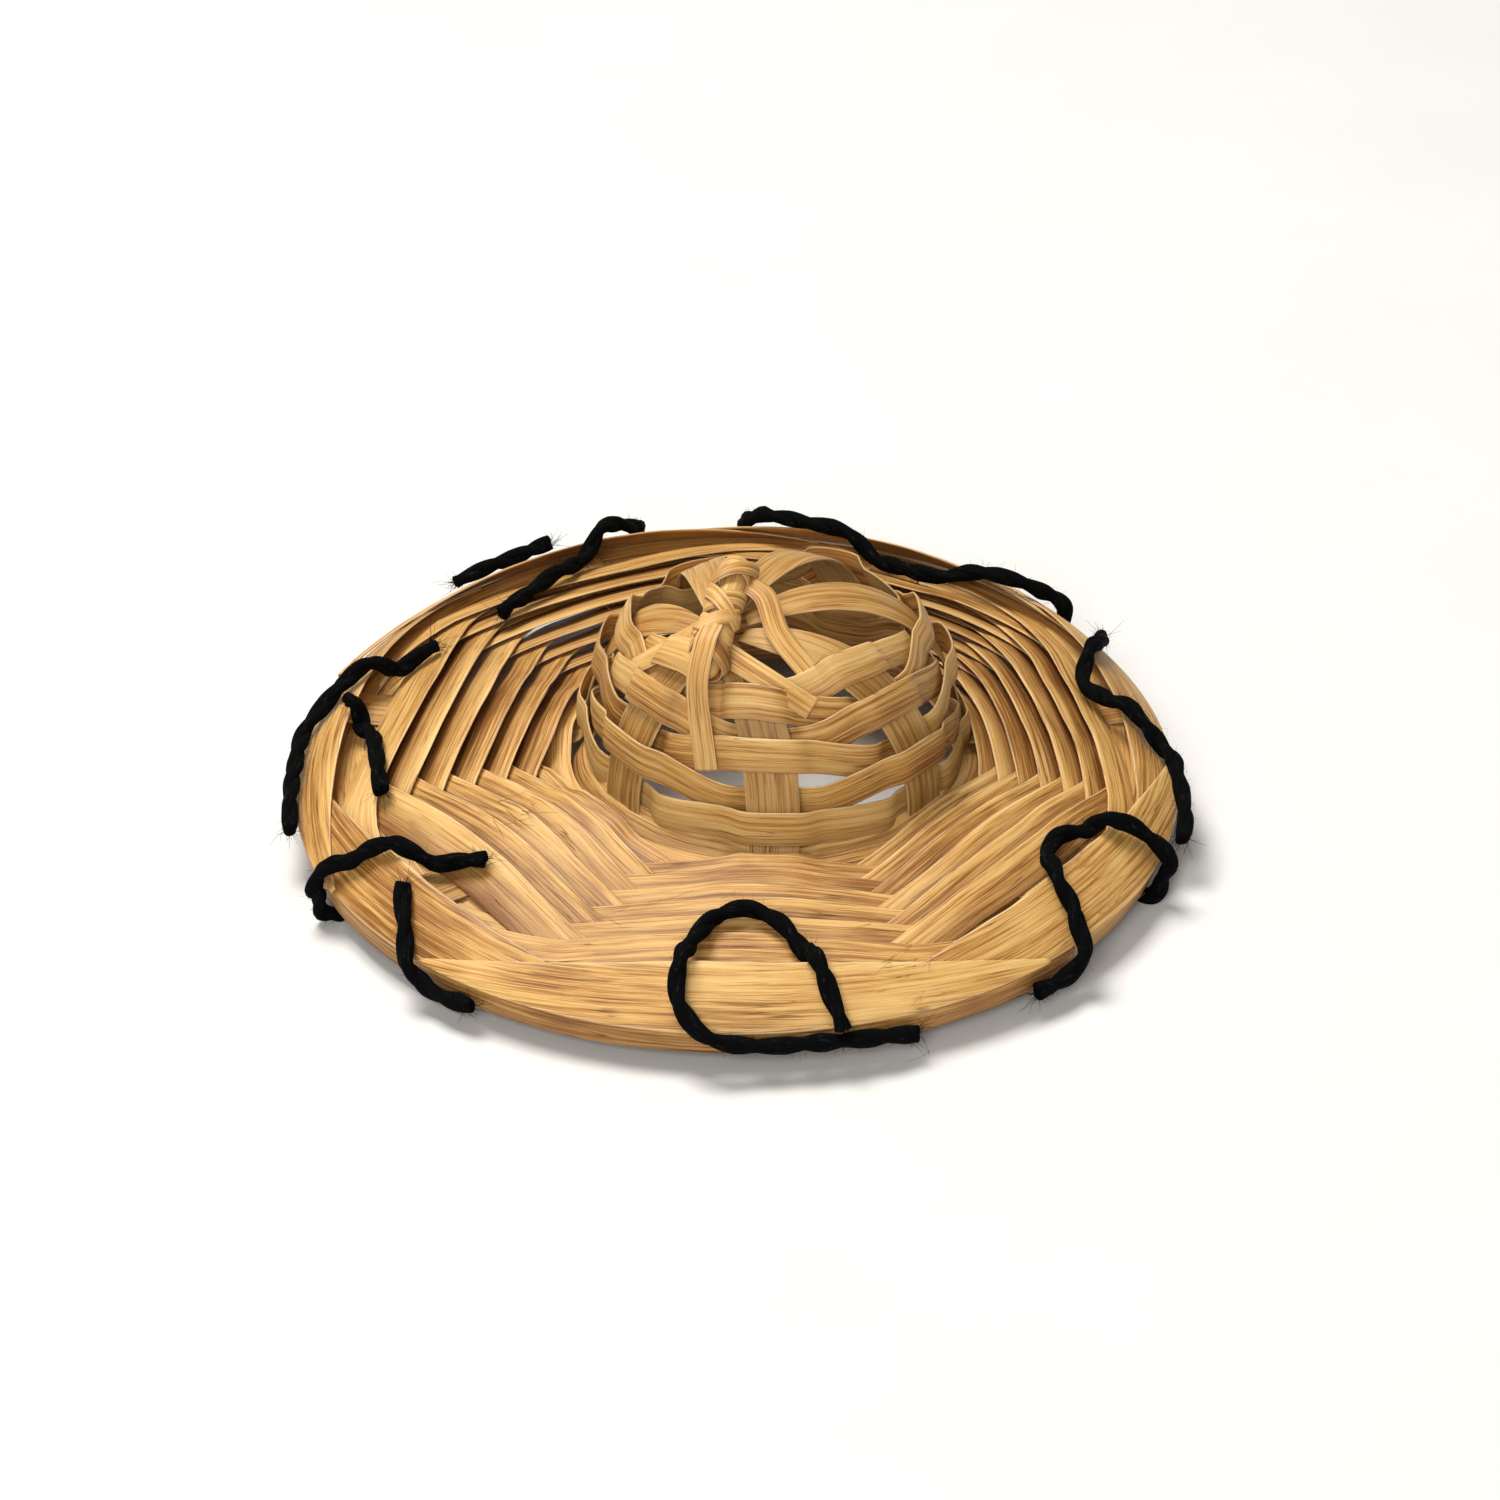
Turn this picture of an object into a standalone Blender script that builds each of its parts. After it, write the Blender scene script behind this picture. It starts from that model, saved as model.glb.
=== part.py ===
"""A miniature plaited sun hat: a domed crown of flat splints on a wide shingled brim, lashed with thread.

Metres, +Z up. The origin is under the rim's centre, on the surface that the hat rests on. The front is -Y.
Seven stakes run from the knot at the top, down the dome and out to the rim. A splint goes round and round
them, over one and under the next. Seven is odd, so each turn passes the other way from the turn before it.
"""

import math

import bmesh
import bpy
import numpy as np
from mathutils import Quaternion, Vector
from mathutils.bvhtree import BVHTree

# ---------------------------------------------------------------- driving dimensions
STAKES = 7
STAKE_WIDTH = 0.0032
STAKE_THICKNESS = 0.0002
SPLINT_THICKNESS = 0.00016
CLEARANCE = 0.00006  # between a splint and what it passes
CROWN_CLEARANCE = 0.0001  # the same on the crown, which curves both ways

# Dome: the stakes' middle surface, over a foot circle that stands off the rim's centre
DOME_RADIUS = 0.01075
DOME_CENTRE = (0.0021, 0.0)
KNOT_LEAN = math.radians(28.5)  # the knot sits this far down the dome from its highest point
KNOT_BEARING = math.radians(235)
KNOT_CLEAR_RADIUS = 0.0012  # the stakes stop here, under the knot
STAKE_SHARE = 0.8  # of the room at the knot is taken up by the stakes
STAKE_END_DEPTH = 0.0019  # from the rim in to the stakes' outer ends
BEND_RADIUS = 0.0009  # from the dome into the brim

# Brim
RIM_RADIUS = 0.0250
BRIM_TOP = 0.0041  # height of the stakes where the brim starts
BRIM_SLOPE = math.radians(2.8)
BACK_RISE = 0.0017  # how much higher the brim's edge is at the back than at the front
BRIM_SPLINT_WIDTH = 0.0029
BRIM_END_WIDTH = 0.793 * BRIM_SPLINT_WIDTH  # of the first turn and the last
BRIM_START_GAP = 0.0002  # from the dome's bend to the first turn, between two stakes
BRIM_END_DEPTH = 0.0024  # from the rim in to the last turn's middle, between two stakes
BRIM_SPANS = 88  # stakes passed from the first turn to the last
BRIM_BOW = 0.09  # a span bows in over a stake, and out under one, by this share of its radius
TILT_FRONT, TILT_RIGHT, TILT_BACK, TILT_LEFT = (math.radians(d) for d in (17, 34, 25, 30))

# Crown: how high up the dome each turn is, as an angle at its centre, from just under its foot to the top
CROWN_RISES = tuple(math.radians(d) for d in (-6.4, 4.6, 14.9, 24.6, 32.8, 39.9, 47.9, 50.8))
CROWN_LOWEST_TURN = 1  # turns between the brim's first front stake and the first of these
CROWN_SETTLED_RISE = math.radians(15)  # where the foot's tilt has turned into the crown's
CROWN_BACK_DROP = 0.27  # the turns are lower at the back by this share of their height
CROWN_START = 11  # stakes back from the brim's first front stake to the crown's first splint
CROWN_SPANS = 40
CROWN_SPLINT_WIDTH = 0.186 * DOME_RADIUS
CROWN_BOW = 0.07 * DOME_RADIUS
CROWN_TILT = math.radians(15.5)
CROWN_FOOT_TILT = math.radians(-6)

SPANS_PER_SPLINT = 8
SPLINT_JOINT = 0.0003  # between the ends of two splints that follow each other

# Rim
HOOP_HEIGHT = 0.0009
HOOP_THICKNESS = 0.00018
HOOP_INSET = 0.0001  # of its middle inside the rim
HOOP_START = math.radians(310)
HOOP_LAP = math.radians(7)  # how far its ends pass each other
HOOP_SPIRAL = 0.0004  # how much further out its last end is than its first
FACING_HALF_ANGLE = math.radians(42)
FACING_TOP = 0.0050
FACING_DEPTH = 0.0028  # from the rim in to its upper edge
FACING_FOOT = 0.0024
FACING_OVERHANG = 0.0002  # of its lower edge past the rim
FACING_TAPER = 0.93  # how much of its width is gone at its ends
FACING_STEP = 0.00032  # each facing's ends lie this far off its middle, over or under its neighbours

# Thread: it lies flattened on the ground, so its middle is lower than its radius
THREAD_RADIUS = 0.00055
THREAD_HEIGHT_ON_GROUND = 0.00043
THREAD_CLEARANCE = 0.00012
THREAD_SPACING = 0.0006  # between the points of its route
APPROACH_STEPS = 60
APPROACH_FROM = 1.2  # a thread beside the rim comes in to it from this many radii out
TOUCH = CLEARANCE / 10  # near enough
LEVEL_STEPS = 20

# The routes of the lashings. Each stop is a bearing in degrees, then one of these:
#   OVER, resting on the plaiting at this share of the rim's radius
#   BESIDE, against the rim from outside at this share of the height from the ground to the facings' top
#   UNDER, on the ground under the rim at this share of its radius
OVER, BESIDE, UNDER = "over", "beside", "under"
LASHINGS = {
    "front": [
        (292.0, BESIDE, 0.31), (288.5, BESIDE, 0.36), (283.8, BESIDE, 0.39), (278.4, BESIDE, 0.41),
        (273.2, BESIDE, 0.41), (268.7, BESIDE, 0.47), (266.0, BESIDE, 0.57), (263.8, OVER, 1.0),
        (262.7, OVER, 0.97), (262.6, OVER, 0.93), (263.3, OVER, 0.87), (265.0, OVER, 0.78),
        (267.9, OVER, 0.73), (271.3, OVER, 0.716), (274.7, OVER, 0.73), (277.7, OVER, 0.78),
        (280.0, OVER, 0.85), (281.2, OVER, 0.93), (282.0, OVER, 0.985), (282.3, OVER, 1.0),
        (282.6, BESIDE, 0.69),
    ],
    "right_front": [
        (338.6, UNDER, 0.93), (338.6, UNDER, 1.0), (338.6, BESIDE, 0.3), (338.8, BESIDE, 0.6),
        (338.8, OVER, 0.98), (337.0, OVER, 0.93), (334.0, OVER, 0.87), (330.5, OVER, 0.825),
        (326.6, OVER, 0.825), (322.0, OVER, 0.87), (319.6, OVER, 0.92), (319.0, OVER, 0.97),
        (317.9, OVER, 1.0), (316.8, BESIDE, 0.5), (315.4, BESIDE, 0.34), (312.6, BESIDE, 0.29),
        (309.0, BESIDE, 0.31),
    ],
    "right": [
        (28.0, OVER, 0.98), (24.5, OVER, 0.94), (20.3, OVER, 0.88), (16.5, OVER, 0.84),
        (12.5, OVER, 0.83), (8.1, OVER, 0.865), (3.5, OVER, 0.92), (359.5, OVER, 0.98),
        (354.4, BESIDE, 0.72), (348.3, BESIDE, 0.6), (344.5, BESIDE, 0.5),
    ],
    "back_right": [
        (89.0, UNDER, 0.93), (89.0, UNDER, 1.0), (89.0, BESIDE, 0.4), (88.5, OVER, 0.99),
        (85.0, OVER, 0.92), (79.1, OVER, 0.89), (72.0, OVER, 0.87), (66.0, OVER, 0.84),
        (61.0, OVER, 0.83), (55.5, OVER, 0.85), (49.5, OVER, 0.88), (44.5, OVER, 0.92),
        (41.6, OVER, 0.97), (40.5, BESIDE, 0.6), (40.0, BESIDE, 0.3), (40.0, UNDER, 1.0),
        (40.0, UNDER, 0.93),
    ],
    "back_left": [
        (138.0, OVER, 0.75), (132.4, OVER, 0.76), (127.0, OVER, 0.77), (122.0, OVER, 0.79),
        (116.5, OVER, 0.84), (111.5, OVER, 0.89), (107.0, OVER, 0.94), (104.5, OVER, 0.99),
        (103.5, BESIDE, 0.5), (103.5, UNDER, 1.0), (103.5, UNDER, 0.93),
    ],
    "back_left_end": [
        (119.0, OVER, 0.94), (121.5, OVER, 0.97), (124.5, OVER, 1.0), (128.0, BESIDE, 0.75),
        (132.0, BESIDE, 0.62),
    ],
    "left": [
        (195.0, BESIDE, 0.6), (187.5, BESIDE, 0.66), (180.2, BESIDE, 0.7), (174.6, OVER, 1.0),
        (170.6, OVER, 0.97), (167.0, OVER, 0.93), (163.5, OVER, 0.88), (159.5, OVER, 0.84),
        (156.0, OVER, 0.81), (153.5, OVER, 0.785),
    ],
    "left_end": [
        (173.5, OVER, 0.9), (175.5, OVER, 0.86), (179.5, OVER, 0.83), (185.0, OVER, 0.82),
        (190.9, OVER, 0.82), (195.5, OVER, 0.825),
    ],
    "left_front": [
        (206.0, UNDER, 0.93), (206.0, UNDER, 1.0), (206.3, BESIDE, 0.4), (207.0, OVER, 1.0),
        (208.5, OVER, 0.97), (210.6, OVER, 0.92), (213.5, OVER, 0.87), (217.0, OVER, 0.82),
        (220.5, OVER, 0.78), (223.5, OVER, 0.755),
    ],
    "left_front_end": [
        (219.5, OVER, 0.935), (221.6, OVER, 0.965), (224.2, OVER, 0.995), (226.8, BESIDE, 0.55),
        (228.8, BESIDE, 0.37), (231.2, BESIDE, 0.29), (236.7, BESIDE, 0.33),
    ],
}

# Knot: where its bundle runs over the dome, and how far along it each wrap is
KNOT_ROUTE = (
    (0.0001, -0.0010), (-0.0004, -0.0033), (-0.0010, -0.0051), (-0.0013, -0.0066), (-0.0018, -0.0078),
)
KNOT_RADIUS = 0.0008
KNOT_LIFT = 0.0005  # its far end lies over the topmost turn
KNOT_WRAPS = (0.12, 0.4, 0.62, 0.84)
KNOT_WRAP_WIDTH = 0.0013
KNOT_WRAP_GAP = 0.12  # radians from a wrap's ends to the underside
KNOT_TAPER = 0.8
KNOT_SPACING = 0.0006  # between the points of its line

FRONT = math.radians(270)
STEP_ANGLE = 2 * math.pi / STAKES
SETTLED_SPAN = 0.3  # the weaving has settled by this share of a span from a stake's middle
SETTLING_SPAN = 0.09  # and no sooner than this past the stake's edge
SPAN_POINTS = (0.0, 0.1, 0.2, 0.32, 0.5, 0.68, 0.8, 0.9)  # closer together beside the stakes
DOME_ROWS, BRIM_ROWS, HOOP_ROWS, FACING_ROWS, WRAP_ROWS = 16, 7, 73, 17, 19
CURVE_STEPS = 12

CANE = ("splint", (0.74, 0.50, 0.24), 0.55)
CANE_DARK = ("stake_splint", (0.66, 0.42, 0.19), 0.6)
THREAD = ("black_thread", (0.02, 0.022, 0.025), 0.85)


# ---------------------------------------------------------------- the hat's surface
BEND_SWEEP = math.pi / 2 - BRIM_SLOPE
BEND_LENGTH = BEND_RADIUS * BEND_SWEEP
DOME_FOOT_HEIGHT = BRIM_TOP + BEND_RADIUS
BRIM_INNER_RADIUS = DOME_RADIUS + BEND_RADIUS
CROWN_FOOT_RADIUS = BRIM_INNER_RADIUS  # the lowest crown turn ends inside this
BRIM_START = BRIM_INNER_RADIUS + BRIM_START_GAP + BRIM_END_WIDTH / 2
BRIM_END = RIM_RADIUS - BRIM_END_DEPTH
BRIM_PITCH = (BRIM_END - BRIM_START) * STAKES / BRIM_SPANS


def profile(s):
    """Radius and height of the stakes' middle surface, s along it from the dome's foot, or -s up the dome."""
    if s < 0:
        rise = -s / DOME_RADIUS
        return DOME_RADIUS * math.cos(rise), DOME_FOOT_HEIGHT + DOME_RADIUS * math.sin(rise)
    sweep = min(s / BEND_RADIUS, BEND_SWEEP)
    radius = DOME_RADIUS + BEND_RADIUS * (1 - math.cos(sweep))
    height = DOME_FOOT_HEIGHT - BEND_RADIUS * math.sin(sweep)
    run = max(s - BEND_LENGTH, 0)
    return radius + run * math.cos(BRIM_SLOPE), height - run * math.sin(BRIM_SLOPE)


def back_rise(radius, angle):
    share = (radius - DOME_RADIUS) / (RIM_RADIUS - DOME_RADIUS)
    return BACK_RISE * share * ((1 + math.sin(angle)) / 2) ** 2


def stake_lean(rise):
    """How far the stakes have leant over towards the knot, at this angle up the dome."""
    return KNOT_LEAN * (rise / (math.pi / 2)) ** 1.5


def on_hat(s, angle):
    """The stakes lean to the knot as they climb the dome, and centre on the rim as they cross the brim."""
    radius, height = profile(s)
    point = Vector((radius * math.cos(angle), radius * math.sin(angle), height))
    if s < 0:
        lean = stake_lean(-s / DOME_RADIUS)
        axis = Vector((-math.sin(KNOT_BEARING), math.cos(KNOT_BEARING), 0))
        foot = Vector((0, 0, DOME_FOOT_HEIGHT))
        point = foot + Quaternion(axis, lean) @ (point - foot)
        return np.array(point) + (*DOME_CENTRE, 0)
    share = (radius - DOME_RADIUS) / (BRIM_END - DOME_RADIUS)
    offset = np.array((*DOME_CENTRE, 0)) * max(1 - share, 0)
    return np.array(point) + offset + (0, 0, back_rise(radius, angle))


def frame(s, angle):
    """A point on the hat's surface, the way outward along it, and its normal."""
    small = 1e-6
    point = on_hat(s, angle)
    around = on_hat(s, angle + small / RIM_RADIUS) - on_hat(s, angle - small / RIM_RADIUS)
    outward = on_hat(s + small, angle) - on_hat(s - small, angle)
    normal = np.cross(outward, around)
    normal /= np.linalg.norm(normal)
    outward = np.cross(around, normal)
    return point, outward / np.linalg.norm(outward), normal


def brim_s(radius):
    return BEND_LENGTH + (radius - BRIM_INNER_RADIUS) / math.cos(BRIM_SLOPE)


def brim_tilt(angle):
    """Tilt of the brim's splints, inner edge up, through the four values given."""
    mean = (TILT_FRONT + TILT_RIGHT + TILT_BACK + TILT_LEFT) / 4
    side = (TILT_RIGHT - TILT_LEFT) / 2
    depth = (TILT_BACK - TILT_FRONT) / 2
    squash = (TILT_RIGHT + TILT_LEFT - TILT_BACK - TILT_FRONT) / 4
    return mean + side * math.cos(angle) + depth * math.sin(angle) + squash * math.cos(2 * angle)


def stake_width(s):
    """Full on the brim, and narrower where the stakes draw together at the knot."""
    radius, _ = profile(s)
    room = STAKE_SHARE * radius * STEP_ANGLE
    return 1 / math.hypot(1 / STAKE_WIDTH, 1 / room)


# ---------------------------------------------------------------- building
def material(finish):
    name, colour, roughness = finish
    found = bpy.data.materials.get(name)
    if found:
        return found
    made = bpy.data.materials.new(name)
    made.use_nodes = True
    shader = made.node_tree.nodes["Principled BSDF"]
    shader.inputs["Base Color"].default_value = (*colour, 1)
    shader.inputs["Roughness"].default_value = roughness
    shader.inputs["Metallic"].default_value = 0
    return made


def add_object(name, mesh, finish, collection):
    made = bpy.data.objects.new(name, mesh)
    mesh.materials.append(material(finish))
    collection.objects.link(made)
    return made


def splint(name, rows, thickness, finish, collection):
    """A flat strip through rows of points, from one edge to the other, with its thickness from Solidify."""
    across = len(rows[0])
    bm = bmesh.new()
    bmesh.ops.create_grid(bm, x_segments=len(rows) - 1, y_segments=across - 1, size=1)
    for vertex in bm.verts:
        row = round((vertex.co.x + 1) / 2 * (len(rows) - 1))
        column = round((vertex.co.y + 1) / 2 * (across - 1))
        vertex.co = rows[row][column]
    mesh = bpy.data.meshes.new(name)
    bm.to_mesh(mesh)
    bm.free()
    mesh.shade_smooth()
    made = add_object(name, mesh, finish, collection)
    solid = made.modifiers.new("thickness", "SOLIDIFY")
    solid.thickness = thickness
    solid.offset = 0
    return made


def row_across(point, way, width):
    return [point - way * width / 2, point + way * width / 2]


# ---------------------------------------------------------------- the woven turns
def span_shape(t):
    """At t stakes along: +1 over or -1 under the nearest stake, the spans to it, and the bow."""
    nearest = round(t)
    side = 1 if nearest % 2 == 0 else -1
    away = abs(t - nearest)
    return side, away, 1 - (2 * away) ** 2


def woven_row(t, level, bow, width, lean, clearance):
    """Both edges of the weaving at t. It slides along its own tilt past a stake, and lifts clear."""
    side, away, bowed = span_shape(t)
    angle = FRONT + t * STEP_ANGLE
    s = level - side * bow * bowed
    radius, _ = profile(s)
    point, outward, normal = frame(s, angle)
    past_stake = stake_width(s) / 2 / (radius * STEP_ANGLE)
    settled = max(SETTLED_SPAN, past_stake + SETTLING_SPAN)
    fade = min(max((away - past_stake) / (settled - past_stake), 0), 1)
    clear = width / 2 * abs(math.sin(lean)) + (STAKE_THICKNESS + SPLINT_THICKNESS) / 2 + clearance
    extra = (clear - bow * math.tan(lean)) * (1 + math.cos(math.pi * fade)) / 2
    lift = side * (bow * bowed * math.tan(lean) + extra)
    way = outward * math.cos(lean) - normal * math.sin(lean)
    return row_across(point + normal * lift, way, width)


def brim_row(t):
    radius = BRIM_START + BRIM_PITCH * t / STAKES
    side, _, _ = span_shape(t)
    middle = (BRIM_START + BRIM_END) / 2
    narrowing = ((radius - middle) / (BRIM_END - middle)) ** 2
    width = BRIM_SPLINT_WIDTH - (BRIM_SPLINT_WIDTH - BRIM_END_WIDTH) * narrowing
    angle = FRONT + t * STEP_ANGLE
    spread = 1 - DOME_CENTRE[0] / (BRIM_END - DOME_RADIUS) * math.cos(angle)
    width *= spread
    bow = BRIM_BOW * radius
    reach = width / 2 * math.cos(brim_tilt(angle))
    if side < 0:
        bow = min(bow, hoop_inner_radius() - CLEARANCE - radius - width / 2)
    else:
        bow = min(bow, radius - reach - CROWN_FOOT_RADIUS)
    return woven_row(t, brim_s(radius), bow, width, brim_tilt(angle), CLEARANCE)


def crown_row(t):
    """A row of the crown's weaving, which stays level while the stakes lean."""
    turns = -t / STAKES - CROWN_LOWEST_TURN
    angle = FRONT + t * STEP_ANGLE
    back = ((1 + math.sin(angle)) / 2) ** 4
    rise = level = np.interp(turns, range(len(CROWN_RISES)), CROWN_RISES) * (1 - CROWN_BACK_DROP * back)
    for _ in range(LEVEL_STEPS):
        rise = level + stake_lean(max(rise, 0)) * math.cos(angle - KNOT_BEARING)
    settled = min(max(level / CROWN_SETTLED_RISE, 0), 1)
    lean = CROWN_FOOT_TILT + (CROWN_TILT - CROWN_FOOT_TILT) * settled
    roundness = CROWN_SPLINT_WIDTH**2 / (2 * profile(-rise * DOME_RADIUS)[0])
    clearance = CROWN_CLEARANCE + roundness
    return woven_row(t, -rise * DOME_RADIUS, CROWN_BOW * settled, CROWN_SPLINT_WIDTH, lean, clearance)


def hoop_inner_radius():
    return RIM_RADIUS - HOOP_INSET - HOOP_THICKNESS / 2


def hoop_foot():
    """The hoop stands on the thread that passes under it."""
    return THREAD_HEIGHT_ON_GROUND + THREAD_RADIUS + THREAD_CLEARANCE


def woven_splint(name, row_at, start, finish, collection):
    """One splint of the weaving, from one stake to another, a joint's gap short of the next splint."""
    stops = [start + span + share for span in range(SPANS_PER_SPLINT) for share in SPAN_POINTS]
    stops.append(start + SPANS_PER_SPLINT)
    first = np.mean(row_at(start), axis=0)
    second = np.mean(row_at(start + SPAN_POINTS[1]), axis=0)
    gap = SPLINT_JOINT / 2 / np.linalg.norm(second - first) * SPAN_POINTS[1]
    stops[0] += gap
    stops[-1] -= gap
    splint(name, [row_at(t) for t in stops], SPLINT_THICKNESS, finish, collection)


def make_weaving(collection):
    for i in range(BRIM_SPANS // SPANS_PER_SPLINT):
        woven_splint(f"brim_weaver_{i + 1:02d}", brim_row, 1 + i * SPANS_PER_SPLINT, CANE, collection)
    for i in range(CROWN_SPANS // SPANS_PER_SPLINT):
        start = -CROWN_START - (i + 1) * SPANS_PER_SPLINT
        woven_splint(f"crown_weaver_{i + 1}", crown_row, start, CANE, collection)


def make_stakes(collection):
    top = -DOME_RADIUS * math.acos(KNOT_CLEAR_RADIUS / DOME_RADIUS)
    end = brim_s(RIM_RADIUS - STAKE_END_DEPTH)
    stops = [*np.linspace(top, 0, DOME_ROWS), BEND_LENGTH / 3, BEND_LENGTH * 2 / 3]
    stops += [*np.linspace(BEND_LENGTH, end, BRIM_ROWS)]
    for i in range(STAKES):
        rows = []
        for s in stops:
            half = stake_width(s) / 2 / profile(s)[0]
            rows.append([on_hat(s, FRONT + i * STEP_ANGLE + share * half) for share in (-1, 0, 1)])
        splint(f"stake_{i + 1}", rows, STAKE_THICKNESS, CANE_DARK, collection)


def polar(radius, angle, height):
    return np.array((radius * math.cos(angle), radius * math.sin(angle), height))


def make_hoop(collection):
    rows = []
    for share in np.linspace(0, 1, HOOP_ROWS):
        angle = HOOP_START + share * (2 * math.pi + HOOP_LAP)
        radius = RIM_RADIUS - HOOP_INSET + (share - 0.5) * HOOP_SPIRAL
        foot = hoop_foot() + back_rise(RIM_RADIUS, angle)
        rows.append([polar(radius, angle, foot), polar(radius, angle, foot + HOOP_HEIGHT)])
    splint("rim_hoop", rows, HOOP_THICKNESS, CANE, collection)


def facing_edges(angle, away):
    """Upper and lower edge of a rim facing, away in half lengths from the stake that it covers."""
    rise = back_rise(RIM_RADIUS, angle)
    foot = polar(RIM_RADIUS + FACING_OVERHANG, angle, FACING_FOOT + rise)
    head = polar(RIM_RADIUS - FACING_DEPTH, angle, FACING_TOP + rise)
    return foot + (head - foot) * (1 - FACING_TAPER * away**2), foot


def make_facings(collection):
    """Each facing lies over the next one's end, and the front one, put on last, over both neighbours."""
    for i in range(STAKES):
        rows = []
        for away in np.linspace(-1, 1, FACING_ROWS):
            angle = FRONT + i * STEP_ANGLE + away * FACING_HALF_ANGLE
            step = {0: away**2, STAKES - 1: -(away**2)}.get(i, away * abs(away))
            off = polar(1, angle, 1) / math.sqrt(2) * step * FACING_STEP
            head, foot = facing_edges(angle, away)
            rows.append([head + off, foot + off])
        splint(f"rim_facing_{i + 1}", rows, SPLINT_THICKNESS, CANE, collection)


# ---------------------------------------------------------------- tubes
def smooth_route(points, spacing):
    """Points evenly along a smooth curve through the given ones."""
    padded = [2 * points[0] - points[1], *points, 2 * points[-1] - points[-2]]
    fine = []
    for a, b, c, d in zip(padded, padded[1:], padded[2:], padded[3:]):
        for u in np.linspace(0, 1, CURVE_STEPS, endpoint=False):
            cubic, square = (-a + 3 * b - 3 * c + d) * u**3, (2 * a - 5 * b + 4 * c - d) * u**2
            fine.append((cubic + square + (c - a) * u) / 2 + b)
    fine = np.array([*fine, points[-1]])
    run = np.concatenate(([0], np.cumsum(np.linalg.norm(np.diff(fine, axis=0), axis=1))))
    even = np.linspace(0, run[-1], max(round(run[-1] / spacing), 3) + 1)
    return np.stack([np.interp(even, run, fine[:, k]) for k in range(3)], axis=1)


def tube(name, points, radii, finish, collection):
    """A round tube made a mesh, with whatever would be under the ground pressed flat on it."""
    data = bpy.data.curves.new(name, "CURVE")
    data.dimensions = "3D"
    data.bevel_depth = 1
    data.bevel_resolution = 2
    data.use_fill_caps = True
    line = data.splines.new("POLY")
    line.points.add(len(points) - 1)
    for knot, point, radius in zip(line.points, points, radii):
        knot.co = (*point, 1)
        knot.radius = radius
    guide = bpy.data.objects.new(name + "_guide", data)
    collection.objects.link(guide)
    mesh = bpy.data.meshes.new_from_object(guide.evaluated_get(bpy.context.evaluated_depsgraph_get()))
    bpy.data.objects.remove(guide)
    bm = bmesh.new()
    bm.from_mesh(mesh)
    bmesh.ops.remove_doubles(bm, verts=bm.verts, dist=1e-6)
    for vertex in bm.verts:
        vertex.co.z = max(vertex.co.z, 0)
    bm.to_mesh(mesh)
    bm.free()
    mesh.shade_smooth()
    mesh.materials.clear()
    return add_object(name, mesh, finish, collection)


def surface_of(objects):
    """A tree of every face of these objects, for finding how near a thread is to them."""
    graph = bpy.context.evaluated_depsgraph_get()
    points, faces = [], []
    for made in objects:
        mesh = made.evaluated_get(graph).to_mesh()
        faces += [[len(points) + corner for corner in face.vertices] for face in mesh.polygons]
        points += [made.matrix_world @ vertex.co for vertex in mesh.vertices]
    return BVHTree.FromPolygons(points, faces)


def approach(surface, point, way, reach):
    """Moves a point this way until it is this near to the surface."""
    for _ in range(APPROACH_STEPS):
        gap = surface.find_nearest(Vector(point))[3] - reach
        if gap < TOUCH:
            break
        point = point + way * gap
    return point


def push_clear(surface, point, reach):
    """Moves a point off the surface until it is no nearer than this."""
    for _ in range(APPROACH_STEPS):
        nearest, _, _, distance = surface.find_nearest(Vector(point))
        if distance >= reach:
            break
        off = np.array(point) - np.array(nearest)
        point = np.array(nearest) + off / np.linalg.norm(off) * (reach + TOUCH)
        point[2] = max(point[2], THREAD_HEIGHT_ON_GROUND)
    return point


def lashing_stop(surface, bearing, side, share):
    """Where a thread's middle is when it lies over, beside or under the plaiting at a bearing."""
    angle = math.radians(bearing)
    reach = THREAD_RADIUS + THREAD_CLEARANCE
    if side == UNDER:
        return polar(RIM_RADIUS * share, angle, THREAD_HEIGHT_ON_GROUND)
    if side == OVER:
        above = polar(RIM_RADIUS * share, angle, 2 * FACING_TOP)
        return approach(surface, above, np.array((0, 0, -1)), reach)
    height = FACING_TOP * share + back_rise(RIM_RADIUS, angle)
    return approach(surface, polar(RIM_RADIUS * APPROACH_FROM, angle, height), polar(-1, angle, 0), reach)


def make_lashings(plaiting, collection):
    surface = surface_of(plaiting)
    for name, stops in LASHINGS.items():
        points = smooth_route([lashing_stop(surface, *stop) for stop in stops], THREAD_SPACING)
        points = [push_clear(surface, point, THREAD_RADIUS + THREAD_CLEARANCE) for point in points]
        tube(f"lashing_{name}", points, [THREAD_RADIUS] * len(points), THREAD, collection)


def on_dome(x, y, standoff):
    """The point over (x, y) that stands this far off the stakes' middle surface."""
    across = np.array((x, y)) - DOME_CENTRE
    radius = DOME_RADIUS + standoff
    return np.array((x, y, DOME_FOOT_HEIGHT + math.sqrt(radius**2 - across @ across)))


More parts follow.
